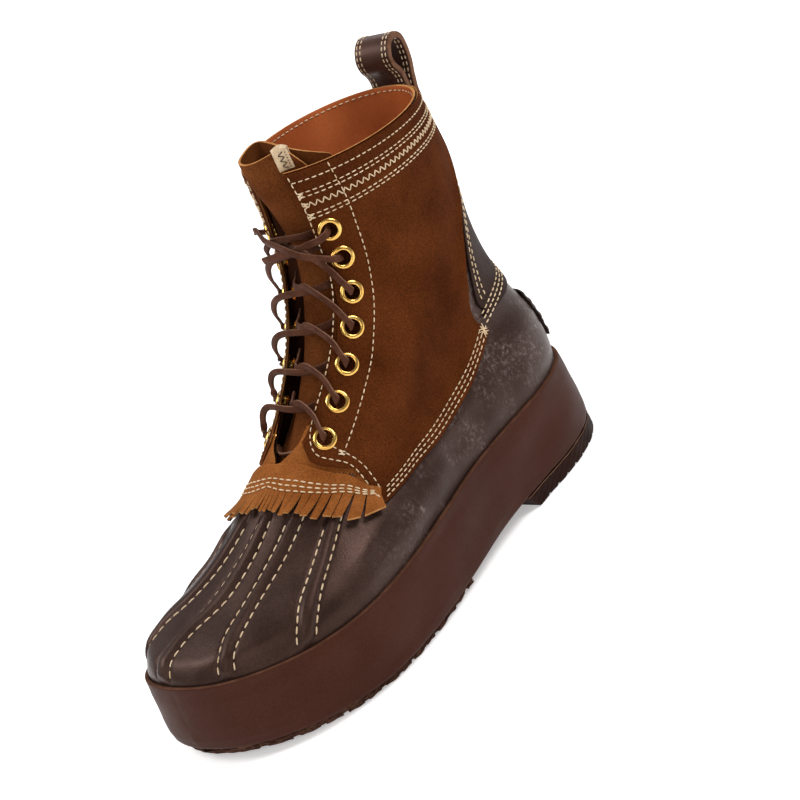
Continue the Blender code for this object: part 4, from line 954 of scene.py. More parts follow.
# %% Apron seams
apron_strokes = []
for rise in (0.05, 0.23, 0.41):
    shares = np.linspace(0.97, -0.97, 61)
    rows = apron_rows(shares)
    level = rows[:, 2] + (rows[:, 0] - rows[:, 2]) * rise
    turn = rows[:, 3] + (rows[:, 1] - rows[:, 3]) * rise
    points = shell(level, turn, APRON_OUT + 0.28)
    apron_strokes += thread(points, outward(level, turn), 4.0, 2.9)
stitches("apron_stitching", apron_strokes)

# %% [markdown]
# ## Lining stitches, raw rim and bar-tacks
# The lining is turned over the rim and sewn just under it. Where rows of stitching end, the
# machine goes over the same few stitches again, which leaves a short knot called a bar-tack.

# %% Rim and bar-tacks
turns = np.linspace(158.0, -158.0, 25)
points = shell(9.90, turns, -UPPER_WALL - 0.15)
rim_strokes = thread(points, -outward(9.90, turns), 3.6, 2.5)
stitches("lining_stitching", rim_strokes, width=0.7, height=0.5)


def knot(level, turn, side, reach, slant, count=4):
    """Bar-tack: crossed strokes over the end of a row, with its reach in millimetres."""
    turn = turn if side == "lateral" else 360.0 - turn
    centre = shell(level, turn, SUEDE_TOP + 0.25)
    up = outward(level, turn)
    rise = skin(level + 0.05, turn) - skin(level - 0.05, turn)
    rise = rise / np.linalg.norm(rise)
    aside = np.cross(up, rise)
    strokes = []
    for k in range(count):
        angle = slant + (0.45 if k % 2 else -0.45)
        way = (aside * math.cos(angle) + rise * math.sin(angle)) * reach
        shift = rise * (k - (count - 1) / 2) * 0.7
        strokes.append((centre - way + shift, centre + way + shift, up))
    return strokes


knots = []
for side in ("lateral", "medial"):
    for level, turn in ((9.50, 157.2), (9.27, 156.2), (9.02, 155.5)):
        knots += knot(level, turn, side, 1.7, 0.0)
    knots += knot(3.28, 52.5, side, 3.4, 0.8, 3) + knot(3.28, 52.5, side, 3.4, 2.3, 3)
    knots += knot(2.82, 110.3, side, 2.4, 0.9, 3)
    knots += knot(4.70, 133.0, side, 1.8, 0.3, 3)
stitches("bar_tacks", knots, width=0.8)

# %% [markdown]
# ## Tongue and tape
# The tongue is one wide piece of suede whose sides fold back inside the shaft. Its coarse rows
# follow a table of depths and reaches, a Subdivision Surface rounds them, and Solidify gives the
# hide its thickness. A cream tape, sewn with a dark zigzag, is folded over its top edge.

# %% Tongue
TONGUE = np.array([
    # level, depth on the lateral side, depth at the fold, lateral reach, fold across,
    # room inside the fold, share of the width that the folded side comes back
    (4.30, 2.7, 2.7, 19.0, -17.0, 2.6, 0.10), (4.70, 3.6, 3.6, 21.0, -18.0, 2.6, 0.12),
    (5.10, 7.6, 7.6, 22.0, -19.0, 2.8, 0.15), (6.20, 8.0, 8.0, 24.0, -20.0, 3.0, 0.20),
    (7.20, 8.0, 8.0, 25.0, -20.0, 3.2, 0.28), (8.10, 8.0, 7.6, 25.0, -18.5, 4.5, 0.42),
    (8.80, 7.6, 4.6, 24.0, -15.0, 8.0, 0.62), (9.30, 7.0, 0.5, 23.0, -11.2, 12.0, 0.80),
    (9.70, 6.4, -2.6, 22.5, -11.0, 15.0, 0.92), (10.0, 6.0, -4.2, 22.0, -11.2, 17.0, 1.0),
    (10.35, 5.6, -5.0, 21.5, -11.4, 18.0, 1.0)])
TONGUE_THICK = 1.4
TONGUE_END = 7.2


def at_throat(level, across, out):
    """Point off the front of the last at a distance across."""
    turns = np.linspace(120.0, 240.0, 241)
    turn = np.interp(-across, -skin(level, turns)[:, 1], turns)
    return shell(level, float(turn), out)


def tongue_middle(level, column):
    """Middle of the tongue sheet; column 0 lateral edge, 4 the fold, 7 end of the folded side."""
    (depth_lateral, depth_fold, reach, fold, room, back) = smooth_rows(TONGUE, level)[0]
    columns = np.array([
        # column, across, share of the fold's depth, set back
        (0.0, reach, 0.0, 0.0), (1.0, reach * 0.62, 0.0, 0.0), (2.0, reach * 0.22, 0.45, 0.0),
        (3.0, fold * 0.35, 0.9, 0.0), (4.0, fold * 0.9, 1.0, 0.1), (4.6, fold, 1.0, 0.5),
        (5.2, fold * 0.9, 1.0, 0.95), (6.2, fold + (reach - fold) * back * 0.5, 0.9, 1.05),
        (7.2, fold + (reach - fold) * back * 1.05, 0.5, 1.0)])
    across, share, set_back = smooth_rows(columns, column)[0]
    point = at_throat(level, across, -(depth_lateral + (depth_fold - depth_lateral) * share))
    line = skin(min(level, TOP_LEVEL), 0.0) - skin(min(level, TOP_LEVEL), 180.0)
    line[1] = 0.0
    return point + line / np.linalg.norm(line) * room * set_back


def tongue_sheet(level, column, off):
    """Points held off the tongue's middle, for arrays of levels and columns."""
    points = []
    for one, place, away in zip(level, column, np.broadcast_to(off, len(level))):
        rise = tongue_middle(one + 0.05, place) - tongue_middle(one - 0.05, place)
        ahead, behind = min(place + 0.05, TONGUE_END), max(place - 0.05, 0.0)
        normal = np.cross(rise, tongue_middle(one, ahead) - tongue_middle(one, behind))
        points.append(tongue_middle(one, place) + normal / np.linalg.norm(normal) * away)
    return np.array(points)


def tongue_place(u, v):
    column = TONGUE_END * (1 - u)
    drop = 0.42 * np.clip((0.9 - column) / 0.9, 0, 1) ** 1.3
    drop = drop + 0.40 * np.clip((column - 5.6) / 1.6, 0, 1) ** 1.6
    lift = 0.10 * np.exp(-((column - 1.3) / 1.1) ** 2) + 0.24 * np.exp(-((column - 5.2) / 1.2) ** 2)
    level = 4.30 + (6.05 + lift - drop) * v
    points = tongue_sheet(level, column, TONGUE_THICK / 2)
    points[:, 0] += 0.45 * np.sin(level * 7.3 + 2.0 * u) * np.clip((9.6 - level) / 2.0, 0, 1)
    return points


tongue = panel("tongue_suede", 30, 24, tongue_place, ["suede_tongue", "suede_edge"], core=None)
smoothing = tongue.modifiers.new("round", "SUBSURF")
smoothing.levels = smoothing.render_levels = 2
bpy.ops.object.modifier_apply(modifier="round")
thicken(tongue, "hide", TONGUE_THICK, -1.0, 1)
bpy.ops.object.modifier_apply(modifier="hide")
bpy.ops.object.shade_smooth_by_angle(angle=math.radians(50))
seated(tongue, ["tongue"])


# %% Tape over the tongue
def tape_place(u, v):
    level = np.interp(v, [0.0, 0.45, 0.5, 0.55, 1.0], [10.03, 10.46, 10.49, 10.46, 10.03])
    off = np.interp(v, [0.0, 0.45, 0.5, 0.55, 1.0], [1.75, 1.75, 0.0, -1.75, -1.75])
    points = tongue_sheet(level, 1.62 - 0.98 * u, off)
    crown = np.interp(v, [0.3, 0.45, 0.5, 0.55, 0.7], [0.0, 0.7, 1.2, 0.7, 0.0])
    points[:, 2] += crown * (0.3 + 1.2 * np.sin(np.pi * u))
    return points


tape = panel("tongue_tape", 8, 40, tape_place, ["tape", "tape"], core=None, thick=0.8)
seated(tape, ["tongue_tab"])
level = np.linspace(10.06, 10.42, 7)
column = np.where(np.arange(7) % 2 == 0, 0.98, 1.38)
points = tongue_sheet(level, column, 2.0)
front = points - tongue_sheet(level, column, 1.0)
tape_strokes = [(points[k], points[k + 1], front[k]) for k in range(6)]
level = np.linspace(10.05, 10.42, 20)
points = tongue_sheet(level, np.full(20, 0.84), 2.0)
front = points - tongue_sheet(level, np.full(20, 0.84), 1.0)
tape_strokes += thread(points, front, 1.6, 0.8)
stitches("tape_stitching", tape_strokes, look="dark_thread", width=0.5, height=0.5)

# %% [markdown]
# ## Back strap, heel patch and pull loop
# A dark strap covers the back seam between the quarters, a scalloped patch guards the heel, and a
# folded strip makes the loop by which the boot is pulled on. They are thicker leather. The strap
# and patch have rolled-down borders, and the loop's edges are rounded with a Bevel.

# %% Strap and patch
BACK_STRAP = np.array([(3.25, 30.0), (3.35, 42.0), (3.7, 47.0), (4.5, 49.0), (5.4, 48.0),
                       (6.3, 42.5), (7.0, 34.5), (8.0, 25.0), (9.0, 19.0), (10.0, 15.5)])
STRAP_OUT = 1.65


def strap_place(u, v):
    level = 3.25 + 6.75 * v
    half = smooth_rows(BACK_STRAP, level)[:, 0]
    part = 2 * spread(u, 0.008, 0.02) - 1
    return shell(level, -half * part, STRAP_OUT - 0.3 * rolled(u, v, 0.02))


strap = panel("back_strap_leather", 70, 110, strap_place, ["strap", "strap"], thick=1.2)
seated(strap, ["back_strap"])

HEEL_PATCH = np.array([
    # level, half width in degrees of turn
    (0.92, 13.0), (1.02, 16.5), (1.15, 17.5), (1.28, 15.5), (1.4, 15.5), (1.52, 17.5),
    (1.65, 18.5), (1.78, 16.5), (1.9, 16.0), (2.02, 17.6), (2.15, 18.0), (2.28, 16.0),
    (2.4, 15.0), (2.5, 14.0), (2.56, 9.0)])


def patch_place(u, v):
    level = 0.92 + 1.64 * v
    half = smooth_rows(HEEL_PATCH, level)[:, 0]
    ribs = 0.7 * np.cos(np.pi * (level - 0.92) / 0.125) * np.sin(np.pi * u)
    return shell(level, -half * (2 * u - 1), 2.5 + ribs - 0.8 * rolled(u, v, 0.12))


patch = panel("heel_patch_leather", 40, 90, patch_place, ["black", "black"], thick=2.1)
seated(patch, ["heel_patch"])

strap_strokes = []
for inset in (3.0, 7.0):
    for sign in (1, -1):
        level = np.linspace(3.95, 9.9, 60)
        half = smooth_rows(BACK_STRAP, level)[:, 0] - inset * (0.55 + 0.25 * (10 - level) / 6.5)
        points = shell(level, sign * half, STRAP_OUT + 0.25)
        strap_strokes += thread(points, outward(level, sign * half), 3.8, 2.7)
for distance in (0.0, 2.8, 5.6):
    for sign in (1, -1):
        table = raised([(3.34, sign * 50.0), (3.44, sign * 40.0), (3.54, sign * 23.0),
                        (3.62, sign * 10.0), (3.64, 0.0)], distance)
        line = seam_rows(table, STRAP_OUT + 0.25)
        strap_strokes += thread(*line, 4.1, 2.9)
stitches("strap_stitching", strap_strokes)

# %% Pull loop
PULL_LOOP = np.array([
    # out from the rim, up from the rim
    (4.05, -13.0), (4.05, -4.0), (4.0, 2.0), (2.4, 7.0), (-0.8, 12.0), (-1.6, 17.5), (1.4, 22.5),
    (7.0, 24.8), (12.4, 21.8), (14.2, 14.5), (13.8, 6.0), (11.4, -2.0), (9.4, -8.0), (9.2, -13.5)])
PULL_LOOP_TURN = 353.0
LOOP_LEAN = -2.0
PULL_LOOP_HALF_WIDTH = 11.0
PULL_LOOP_HALF_THICK = 1.75


def loop_frame(v):
    """Middle line of the loop at shares of its way, its outward direction and the rim's."""
    rim = skin(TOP_LEVEL, PULL_LOOP_TURN)
    aside = skin(TOP_LEVEL, PULL_LOOP_TURN + 3.0) - skin(TOP_LEVEL, PULL_LOOP_TURN - 3.0)
    aside[2] = 0.0
    aside = aside / np.linalg.norm(aside)
    out = np.cross((0.0, 0.0, 1.0), aside)
    table = np.column_stack([np.arange(len(PULL_LOOP)), PULL_LOOP])
    at = smooth_rows(table, v * (len(PULL_LOOP) - 1))
    ahead = smooth_rows(table, np.minimum(v + 0.004, 1) * (len(PULL_LOOP) - 1))
    behind = smooth_rows(table, np.maximum(v - 0.004, 0) * (len(PULL_LOOP) - 1))
    line = rim + at[:, :1] * out + at[:, 1:] * np.array([0, 0, 1.0])
    line = line - aside * (LOOP_LEAN * np.clip(at[:, 1:] / 20.0, 0, 1))
    way = (ahead - behind)[:, :1] * out + (ahead - behind)[:, 1:] * np.array([0, 0, 1.0])
    way = way / np.linalg.norm(way, axis=1, keepdims=True)
    return line, np.cross(way, aside), aside


def loop_place(u, v):
    line, out, aside = loop_frame(v)
    return line + aside * ((2 * u - 1) * PULL_LOOP_HALF_WIDTH)[:, None]


loop = panel("pull_loop_leather", 10, 110, loop_place, ["loop", "loop_edge"], core=None)
thicken(loop, "two_layers", 2 * PULL_LOOP_HALF_THICK, 0.0, 1)
bpy.ops.object.modifier_apply(modifier="two_layers")
edit_all((bpy.ops.mesh.normals_make_consistent, {"inside": False}))
edge = loop.modifiers.new("rounded", "BEVEL")
edge.width = 0.6 * MM
edge.segments = 3
edge.limit_method = "ANGLE"
edge.angle_limit = math.radians(60)
bpy.ops.object.modifier_apply(modifier="rounded")
bpy.ops.object.shade_smooth_by_angle(angle=math.radians(50))
seated(loop, ["pull_loop"])

loop_strokes = []
v = np.linspace(0.02, 0.98, 200)
line, out, aside = loop_frame(v)
for across in (-9.3, -7.1, 7.1, 9.3):
    for face in (1, -1):
        points = line + out * face * (PULL_LOOP_HALF_THICK + 0.12) + aside * across
        loop_strokes += thread(points, out * face, 3.3, 2.3)
stitches("loop_stitching", loop_strokes, width=0.75, height=0.6)

# %% [markdown]
# ## Eyelets
# An eyelet is a brass tube whose edge is rolled over a flange. One is spun from its profile with
# the Spin operator, then copied to each place, turned to the leather's outward direction.

# %% Brass eyelet
EYELET_PROFILE = [
    # radius, height
    (3.75, -3.9), (3.72, 0.2), (3.85, 0.75), (4.25, 1.1), (4.8, 1.2), (5.4, 1.02), (5.95, 0.6),
    (6.25, 0.15), (6.3, -0.1), (6.0, -0.25), (4.1, -0.25), (4.1, -3.9)]
bpy.ops.object.select_all(action="DESELECT")
bpy.ops.mesh.primitive_circle_add(vertices=len(EYELET_PROFILE), radius=0.01)
ring = bpy.context.active_object
for vertex, (radius, height) in zip(ring.data.vertices, EYELET_PROFILE):
    vertex.co = (radius * MM, 0.0, height * MM)
bpy.ops.object.mode_set(mode="EDIT")
bpy.ops.mesh.select_all(action="SELECT")
bpy.ops.mesh.spin(steps=40, angle=math.tau, center=(0, 0, 0), axis=(0, 0, 1))
bpy.ops.mesh.select_all(action="SELECT")
bpy.ops.mesh.remove_doubles(threshold=0.00001)
bpy.ops.mesh.normals_make_consistent(inside=False)
bpy.ops.object.mode_set(mode="OBJECT")
ring.data.materials.append(LOOKS["brass"])
print("eyelet:", len(ring.data.polygons), "faces")

# %% All the eyelets
ring_points = np.array([tuple(v.co) for v in ring.data.vertices])
for (side, number), (centre, normal) in SEATS.items():
    bpy.ops.object.select_all(action="DESELECT")
    copy = ring.copy()
    copy.data = ring.data.copy()
    copy.name = copy.data.name = "eyelet_ring_%s_%d" % (side, number)
    bpy.context.scene.collection.objects.link(copy)
    way = placed(centre + normal) - placed(centre)
    way = way / np.linalg.norm(way)
    first = np.cross((0.0, 0.0, 1.0), way)
    first = first / np.linalg.norm(first)
    turned = ring_points @ np.stack([first, np.cross(way, first), way])
    copy.data.vertices.foreach_set("co", (turned + placed(centre - 0.25 * normal)).ravel())
    bpy.context.view_layer.objects.active = copy
    copy.select_set(True)
    bpy.ops.object.shade_smooth_by_angle(angle=math.radians(60))
    seated(copy, ["eyelet_%s_%d" % (side, number)])
bpy.data.objects.remove(ring)

# %% [markdown]
# ## Laces
# The lace is a flat leather thong. It comes up through an eyelet, crosses the throat over the
# tongue and goes under the opposite eyestay. Each strand is a tube whose section is a flattened
# oval, kept flat against the boot. The two free lengths are cords, along the route of the solids.

# %% Thong
THONG_HALF = (1.85, 0.85)


def smooth_route(route, step=0.9):
    """Evenly spaced points on a smooth curve through a route."""
    route = np.array(route, float)
    reach = np.concatenate([[0], np.cumsum(np.linalg.norm(np.diff(route, axis=0), axis=1))])
    dense = smooth_rows(np.column_stack([reach, route]), np.linspace(0, reach[-1], 400))
    far = np.concatenate([[0], np.cumsum(np.linalg.norm(np.diff(dense, axis=0), axis=1))])
    count = max(8, int(far[-1] / step))
    at = np.linspace(0, far[-1], count)
    line = np.stack([np.interp(at, far, dense[:, k]) for k in range(3)], 1)
    for _ in range(6):
        line[1:-1] = (line[:-2] + 2 * line[1:-1] + line[2:]) / 4
    return line, float(np.linalg.norm(np.diff(line, axis=0), axis=1).sum())


def thong(name, route, broad, twist=0.0):
    """Flat lace along a route; broad is the direction of its width."""
    line, length = smooth_route(route)
    way = np.gradient(line, axis=0)
    way = way / np.linalg.norm(way, axis=1, keepdims=True)
    width = np.asarray(broad, float) - way * (way @ np.asarray(broad, float))[:, None]
    width = width / np.linalg.norm(width, axis=1, keepdims=True)
    thick = np.cross(way, width)
    angle = twist * np.sin(np.linspace(0, 2.6, len(line)))[:, None]
    width, thick = (width * np.cos(angle) + thick * np.sin(angle),
                    thick * np.cos(angle) - width * np.sin(angle))

    def place(u, v):
        row = np.clip(np.round(v * (len(line) - 1)).astype(int), 0, len(line) - 1)
        round_ = 2 * np.pi * u
        wide = np.sign(np.cos(round_)) * np.abs(np.cos(round_)) ** 0.6 * THONG_HALF[0]
        high = np.sign(np.sin(round_)) * np.abs(np.sin(round_)) ** 0.6 * THONG_HALF[1]
        return line[row] + width[row] * wide[:, None] + thick[row] * high[:, None]

    def tone(u, v):
        return 1.0 * (np.abs(np.cos(2 * np.pi * u)) > 0.9)

    piece = panel(name, 24, len(line) - 1, place, ["lace", "lace_edge"], core=None, closed=True,
                  tone=tone)
    return piece, length, line


# %% Crossings
SEAT_REACH = 24.0


def strand_route(side, start, end, over):
    """Route out of one eyelet, over the throat and under the opposite eyestay.

    over lists distance across, height over the last and share of the climb to the next row."""
    sign = 1.0 if side == "lateral" else -1.0
    level_a, level_b = EYELETS[start][0], EYELETS[end][0]
    centre, normal = SEATS[side, start + 1]
    scale = sign * abs(centre[1]) / SEAT_REACH
    height = skin((level_a + 2 * level_b) / 3, 180.0)[2]
    edge = -float(np.interp(height, THROAT[:, 0], THROAT[:, 1]))
    climb = over[-1][2]
    tail = [(edge + 5.0, -2.4, climb), (edge + 2.4, -3.4, climb), (edge + 0.2, -4.4, climb),
            (edge - 2.6, -4.8, climb), (edge - 6.0, -5.0, climb)]
    far_part = [at_throat(level_a + (level_b - level_a) * rise, scale * across, out)
                for across, out, rise in over + tail]
    toward = far_part[0] - centre
    toward = toward - normal * toward.dot(normal)
    toward = toward / np.linalg.norm(toward)
    near_part = [centre + toward * away + normal * out for away, out in
                 ((0.2, -3.0), (0.5, 0.6), (1.0, 3.0))]
    return near_part + far_part


def lace_broad(route):
    """Direction of the width: square to the way across and to the boot's front."""
    chord = np.asarray(route[-1]) - np.asarray(route[3])
    return np.cross(chord, (1.0, 0.0, 0.45))


NEAR_STRAND = [(19.5, 4.2, 0.42), (16.0, 4.6, 0.92), (11.5, 4.0, 1.32), (7.0, 2.4, 1.58),
               (2.5, 0.4, 1.68), (-3.0, -1.4, 1.62)]
FAR_STRAND = [(22.4, 5.6, 0.16), (21.0, 7.8, 0.50), (18.2, 8.0, 0.92), (14.0, 6.4, 1.24),
              (8.5, 3.4, 1.42), (2.5, 0.8, 1.50), (-3.0, -1.6, 1.52)]
TOP_STRAND = [(20.0, 5.4, 0.25), (17.0, 6.4, 0.60), (12.5, 4.0, 0.90), (7.5, 1.4, 1.0),
              (2.5, -0.6, 1.0), (-3.0, -2.4, 1.0)]
for pair in range(1, 7):
    name = "lace_crossing_%d" % pair
    route = strand_route("medial", pair, pair - 1, TOP_STRAND if pair == 1 else FAR_STRAND)
    strands = [thong(name + "_far", route, lace_broad(route), 0.5)[0]]
    if pair > 1:
        route = strand_route("lateral", pair, pair - 1, NEAR_STRAND)
        strands.append(thong(name + "_near", route, lace_broad(route), -0.35)[0])
    seated(join_all(strands, name + "_thong"), [name])
bar = [at_throat(5.30, across, -out) for across, out in
       ((13.0, 4.4), (9.0, 4.3), (4.0, 4.0), (-1.0, 3.8), (-5.0, 4.0), (-9.0, 4.3), (-13.0, 4.4))]
seated(thong("lace_bar_thong", bar, (0.5, 0.0, 1.0))[0], ["lace_bottom_bar"])


# %% Free lengths of lace
def out_of_eyelet(side, number, toward, steps):
    """First points of a cord: inside the bore, over the flange and away towards a point."""
    centre, normal = SEATS[side, number]
    way = np.asarray(toward, float) - centre
    way = way - normal * way.dot(normal)
    way = way / np.linalg.norm(way)
    return [centre + way * away + normal * height for away, height in steps]


LEAVE = ((0.4, -2.6), (1.2, 0.4), (3.1, 3.5), (5.6, 3.9))
TOP_OVER = [(124.0, 15.5, 184.0), (127.0, 10.5, 187.0), (128.5, 5.0, 190.5), (128.0, -2.0, 193.5),
            (126.0, -9.5, 194.5), (122.5, -18.0, 195.5), (118.5, -24.5, 198.5)]
TOP_ENTER = out_of_eyelet("medial", 1, (104.0, -30.0, 204.0),
                          ((3.2, 6.2), (1.8, 3.2), (0.9, 0.2), (0.3, -2.6)))
END_OVER = [(121.5, 13.5, 191.0), (124.5, 6.5, 190.0), (126.0, -1.0, 188.5), (127.0, -7.5, 188.0),
            (127.5, -14.0, 186.8), (127.0, -19.5, 185.5)]
top_route = out_of_eyelet("lateral", 2, TOP_OVER[0], LEAVE) + TOP_OVER + TOP_ENTER
end_route = out_of_eyelet("lateral", 1, END_OVER[0], LEAVE) + END_OVER
for name, route, far_end in (("lace_top_loop", top_route, "object"), ("lace_end", end_route, "bare")):
    piece, length, line = thong(name + "_thong", route, (0.25, 0.0, 1.0), 0.4)
    seated(piece, [name])
    print(name, "is", round(length, 1), "mm long")

# %% [markdown]
# ## Sole
# The platform is a wedge wrapped in one strip of brown leather, with a thin pale cut edge at its
# top and bottom. Under it lie a notched heel lift and a rough tread. Each is a closed form: rows of
# a profile run round the outline, and the underside closes along the middle line.


# %% Outline of the sole
def edge_at(turn):
    turn = np.asarray(turn, float) % 360.0
    half = np.where(turn <= 180.0, turn, 360.0 - turn)
    rows = smooth_rows(OUTLINE, half)
    along = SOLE_LENGTH * (1 - np.cos(np.radians(half))) / 2
    return np.stack([along, np.where(turn <= 180.0, rows[:, 0], rows[:, 1])], 1)


def outline_at(turn, grow):
    """Sole outline as (along, across), moved outward."""
    tangent = edge_at(turn + 1.0) - edge_at(turn - 1.0)
    tangent = tangent / np.linalg.norm(tangent, axis=1, keepdims=True)
    return edge_at(turn) + np.stack([-tangent[:, 1], tangent[:, 0]], 1) * np.asarray(grow)[:, None]


def middle_of(turn):
    """Middle of the sole at the same distance along."""
    return (edge_at(turn) + edge_at(360.0 - turn)) / 2


def profile(table, v):
    """The columns of a profile table at shares of its way."""
    return [np.interp(v, table[:, 0], table[:, k]) for k in range(1, table.shape[1])]


def layer_edge(first, last, side_share, u, grow, inward):
    """Edge of a layer whose loop runs from one turn to another and closes straight across."""
    turn = first + (last - first) * np.clip(u / side_share, 0, 1)
    back = np.clip((u - side_share) / (1 - side_share), 0, 1)[:, None]
    edge = outline_at(turn, grow) * (1 - back) + outline_at(first + 0 * u, grow) * back
    middle = middle_of(turn) * (1 - back) + np.column_stack([edge[:, 0], 0 * u]) * back
    return edge + (middle - edge) * inward[:, None]


def in_notch(along, notch):
    """True within a notch: the first one's place, the pitch and the half width of each."""
    first, pitch, half = notch
    return np.abs((along - first + pitch / 2) % pitch - pitch / 2) < half


def rough(along, across, up, size):
    """Uneven height in millimetres, from sines of three sizes."""
    return size * (0.5 * np.sin(along / 3.1 + 1.3 * np.sin(up / 1.9) + across / 5.0)
                   + 0.3 * np.sin(along / 1.13 + up * 1.7) + 0.2 * np.sin(across / 0.9 + up))


# %% Platform
PLATFORM = np.array([
    # share, grow, from the bottom (0) to the top (1), lift, share of the way to the middle
    (0.00, -1.6, 0, 0.0, 1.0), (0.06, -1.6, 0, 0.0, 0.05), (0.09, -0.6, 0, 0.05, 0.0),
    (0.12, 0.6, 0, 0.5, 0.0), (0.15, 1.1, 0, 1.6, 0.0), (0.22, 1.45, 0, 6.0, 0.0),
    (0.40, 1.6, 0.35, 0.0, 0.0), (0.60, 1.1, 0.75, 0.0, 0.0), (0.72, 0.5, 1, -3.4, 0.0),
    (0.78, 0.25, 1, -1.2, 0.0), (0.80, 0.05, 1, -0.35, 0.0), (0.81, -0.25, 1, -0.05, 0.0),
    (0.88, -0.9, 1, 0.0, 0.0), (0.93, -1.9, 1, 0.0, 0.0), (0.95, -2.1, 1, -0.5, 0.0),
    (1.00, -2.1, 1, -6.9, 0.0)])


def platform_place(u, v):
    turn = 360.0 * (1 - u)
    grow, top, lift, inward = profile(PLATFORM, v)
    edge = outline_at(turn, grow)
    edge = edge + (middle_of(turn) - edge) * inward[:, None]
    low, high = platform_bottom(edge[:, 0]), platform_top(edge[:, 0])
    up = low + (high - low) * top + lift
    side = np.clip((v - 0.15) / 0.07, 0, 1) * np.clip((0.78 - v) / 0.1, 0, 1)
    centre = middle_of(turn)
    out = edge - centre
    out = out / np.maximum(np.linalg.norm(out, axis=1, keepdims=True), 1e-6)
    soft = (0.35 * np.sin(edge[:, 0] / 23.0 + 1.2) * np.sin(up / 9.0)
            + 0.25 * np.sin(edge[:, 0] / 9.7 + up / 6.0) + 0.15 * np.sin(up / 3.3 + edge[:, 0] / 31))
    edge = edge + out * (soft * side)[:, None]
    return np.column_stack([edge, up])


def platform_tone(u, v):
    return 1.0 * ((v > 0.795) & (v < 0.945)) + 2.0 * ((v > 0.085) & (v < 0.115))


platform = panel("platform_wrap", 420, 100, platform_place, ["wrap", "edge_line", "edge_light"],
                 closed=True, core=None, tone=platform_tone, smooth=40)
seated(platform, ["platform"])

# %% Heel lift
BREAST_FLOOR = 82.0
HEEL_SIDE_SHARE = 0.82
HEEL_NOTCH = (9.0, 9.0, 1.0)
HEEL_NOTCH_DEEP = 1.2
HEEL_NOTCHED = (6.0, 78.0)
HEEL_PROFILE = np.array([
    # share, grow, height, share of the way to the middle
    (0.0, 0.5, 0.0, 1.0), (0.2, 0.5, 0.0, 0.06), (0.25, 0.6, 0.0, 0.0), (0.3, 1.0, 0.6, 0.0),
    (0.75, 0.8, 7.7, 0.0), (0.78, 0.55, 7.9, 0.0), (0.80, 0.9, 8.05, 0.0), (0.85, 0.9, 8.8, 0.0),
    (0.87, 0.6, 8.85, 0.0), (1.0, 0.6, 8.85, 1.0)])


def heel_place(u, v):
    grow, height, inward = profile(HEEL_PROFILE, v)
    breast = BREAST_FLOOR + (BREAST_TOP - BREAST_FLOOR) * height / HEEL_LIFT
    top = np.degrees(np.arccos(1 - 2 * breast / SOLE_LENGTH))
    edge = layer_edge(top, -top, HEEL_SIDE_SHARE, u, grow, inward)
    notch = in_notch(edge[:, 0], HEEL_NOTCH) & (edge[:, 0] > HEEL_NOTCHED[0])
    notch = notch & (edge[:, 0] < HEEL_NOTCHED[1]) & (height < 1.0) & (u < HEEL_SIDE_SHARE)
    height = np.where(notch, HEEL_NOTCH_DEEP, height)
    edge[:, 1] += rough(edge[:, 0], edge[:, 1], height, 0.25) * (inward == 0)
    return np.column_stack([edge, height])


def heel_tone(u, v):
    return 1.0 * ((v > 0.82) & (v < 0.865))


heel = panel("heel_lift_rubber", 560, 40, heel_place, ["heel", "edge_light"], closed=True, core=None,
             tone=heel_tone, smooth=40)
seated(heel, ["heel_block"])

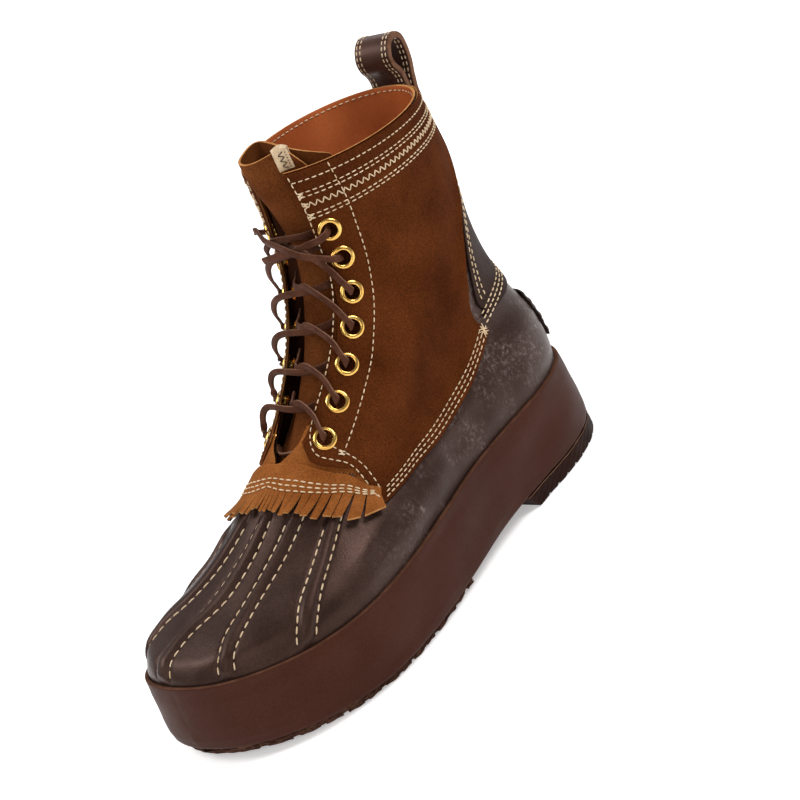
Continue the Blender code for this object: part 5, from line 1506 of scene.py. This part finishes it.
# %% Tread
TREAD_START = 150.0
TREAD_SIDE_SHARE = 0.85
TREAD_NOTCH = (158.0, 11.0, 1.4)
TREAD_NOTCH_DEEP = 2.1
TREAD_NOTCHES_FROM = 155.0
TREAD_PROFILE = np.array([
    # share, grow, height over the underside of the tread, share of the way to the middle
    (0.0, -3.2, 0.0, 1.0), (0.2, -3.2, 0.0, 0.06), (0.3, -3.1, 0.0, 0.0), (0.4, -2.6, 0.8, 0.0),
    (0.8, -2.5, 3.6, 0.0), (0.82, -2.2, 3.7, 0.0), (0.9, -2.2, 4.35, 0.0), (1.0, -2.6, 4.35, 1.0)])


def tread_place(u, v):
    grow, lift, inward = profile(TREAD_PROFILE, v)
    top = math.degrees(math.acos(1 - 2 * TREAD_START / SOLE_LENGTH))
    edge = layer_edge(360.0 - top, top, TREAD_SIDE_SHARE, u, grow, inward)
    notch = in_notch(edge[:, 0], TREAD_NOTCH) & (edge[:, 0] > TREAD_NOTCHES_FROM)
    notch = notch & (lift < 1.0) & (u < TREAD_SIDE_SHARE)
    lift = np.where(notch, TREAD_NOTCH_DEEP, lift)
    edge[:, 1] += rough(edge[:, 0], edge[:, 1], lift * 2, 0.9) * (inward == 0) * (lift < 4.0)
    edge[:, 0] += rough(edge[:, 1], edge[:, 0], lift * 2, 0.7) * (inward == 0) * (lift < 4.0)
    up = platform_bottom(edge[:, 0]) - TREAD_THICK + lift
    return np.column_stack([edge, np.maximum(up, 0.0)])


def tread_tone(u, v):
    return 1.0 * ((v > 0.81) & (v < 0.93))


tread = panel("tread_rubber_edge", 620, 36, tread_place, ["tread", "edge_light"], closed=True,
              core=None, tone=tread_tone, smooth=40)
seated(tread, ["forefoot_tread"])

# %% Insole
INSOLE = np.array([
    # share, height over the cup's floor, share of the way to the middle
    (0.0, 0.15, 1.0), (0.3, 0.15, 0.0), (0.45, 2.6, 0.0), (0.5, 3.3, 0.03), (1.0, 3.5, 1.0)])


def insole_place(u, v):
    turn = 360.0 * (1 - u)
    height, inward = profile(INSOLE, v)
    edge = shell(0.12, turn, -UPPER_WALL - 0.3)[:, :2]
    other = shell(0.12, 360.0 - turn, -UPPER_WALL - 0.3)[:, :2]
    edge = edge + ((edge + other) / 2 - edge) * inward[:, None]
    return np.column_stack([edge, platform_top(edge[:, 0]) - 7.0 + height])


insole = panel("insole_leather", 160, 40, insole_place, ["lining"], closed=True, core=None, smooth=40)
seated(insole, ["insole"])
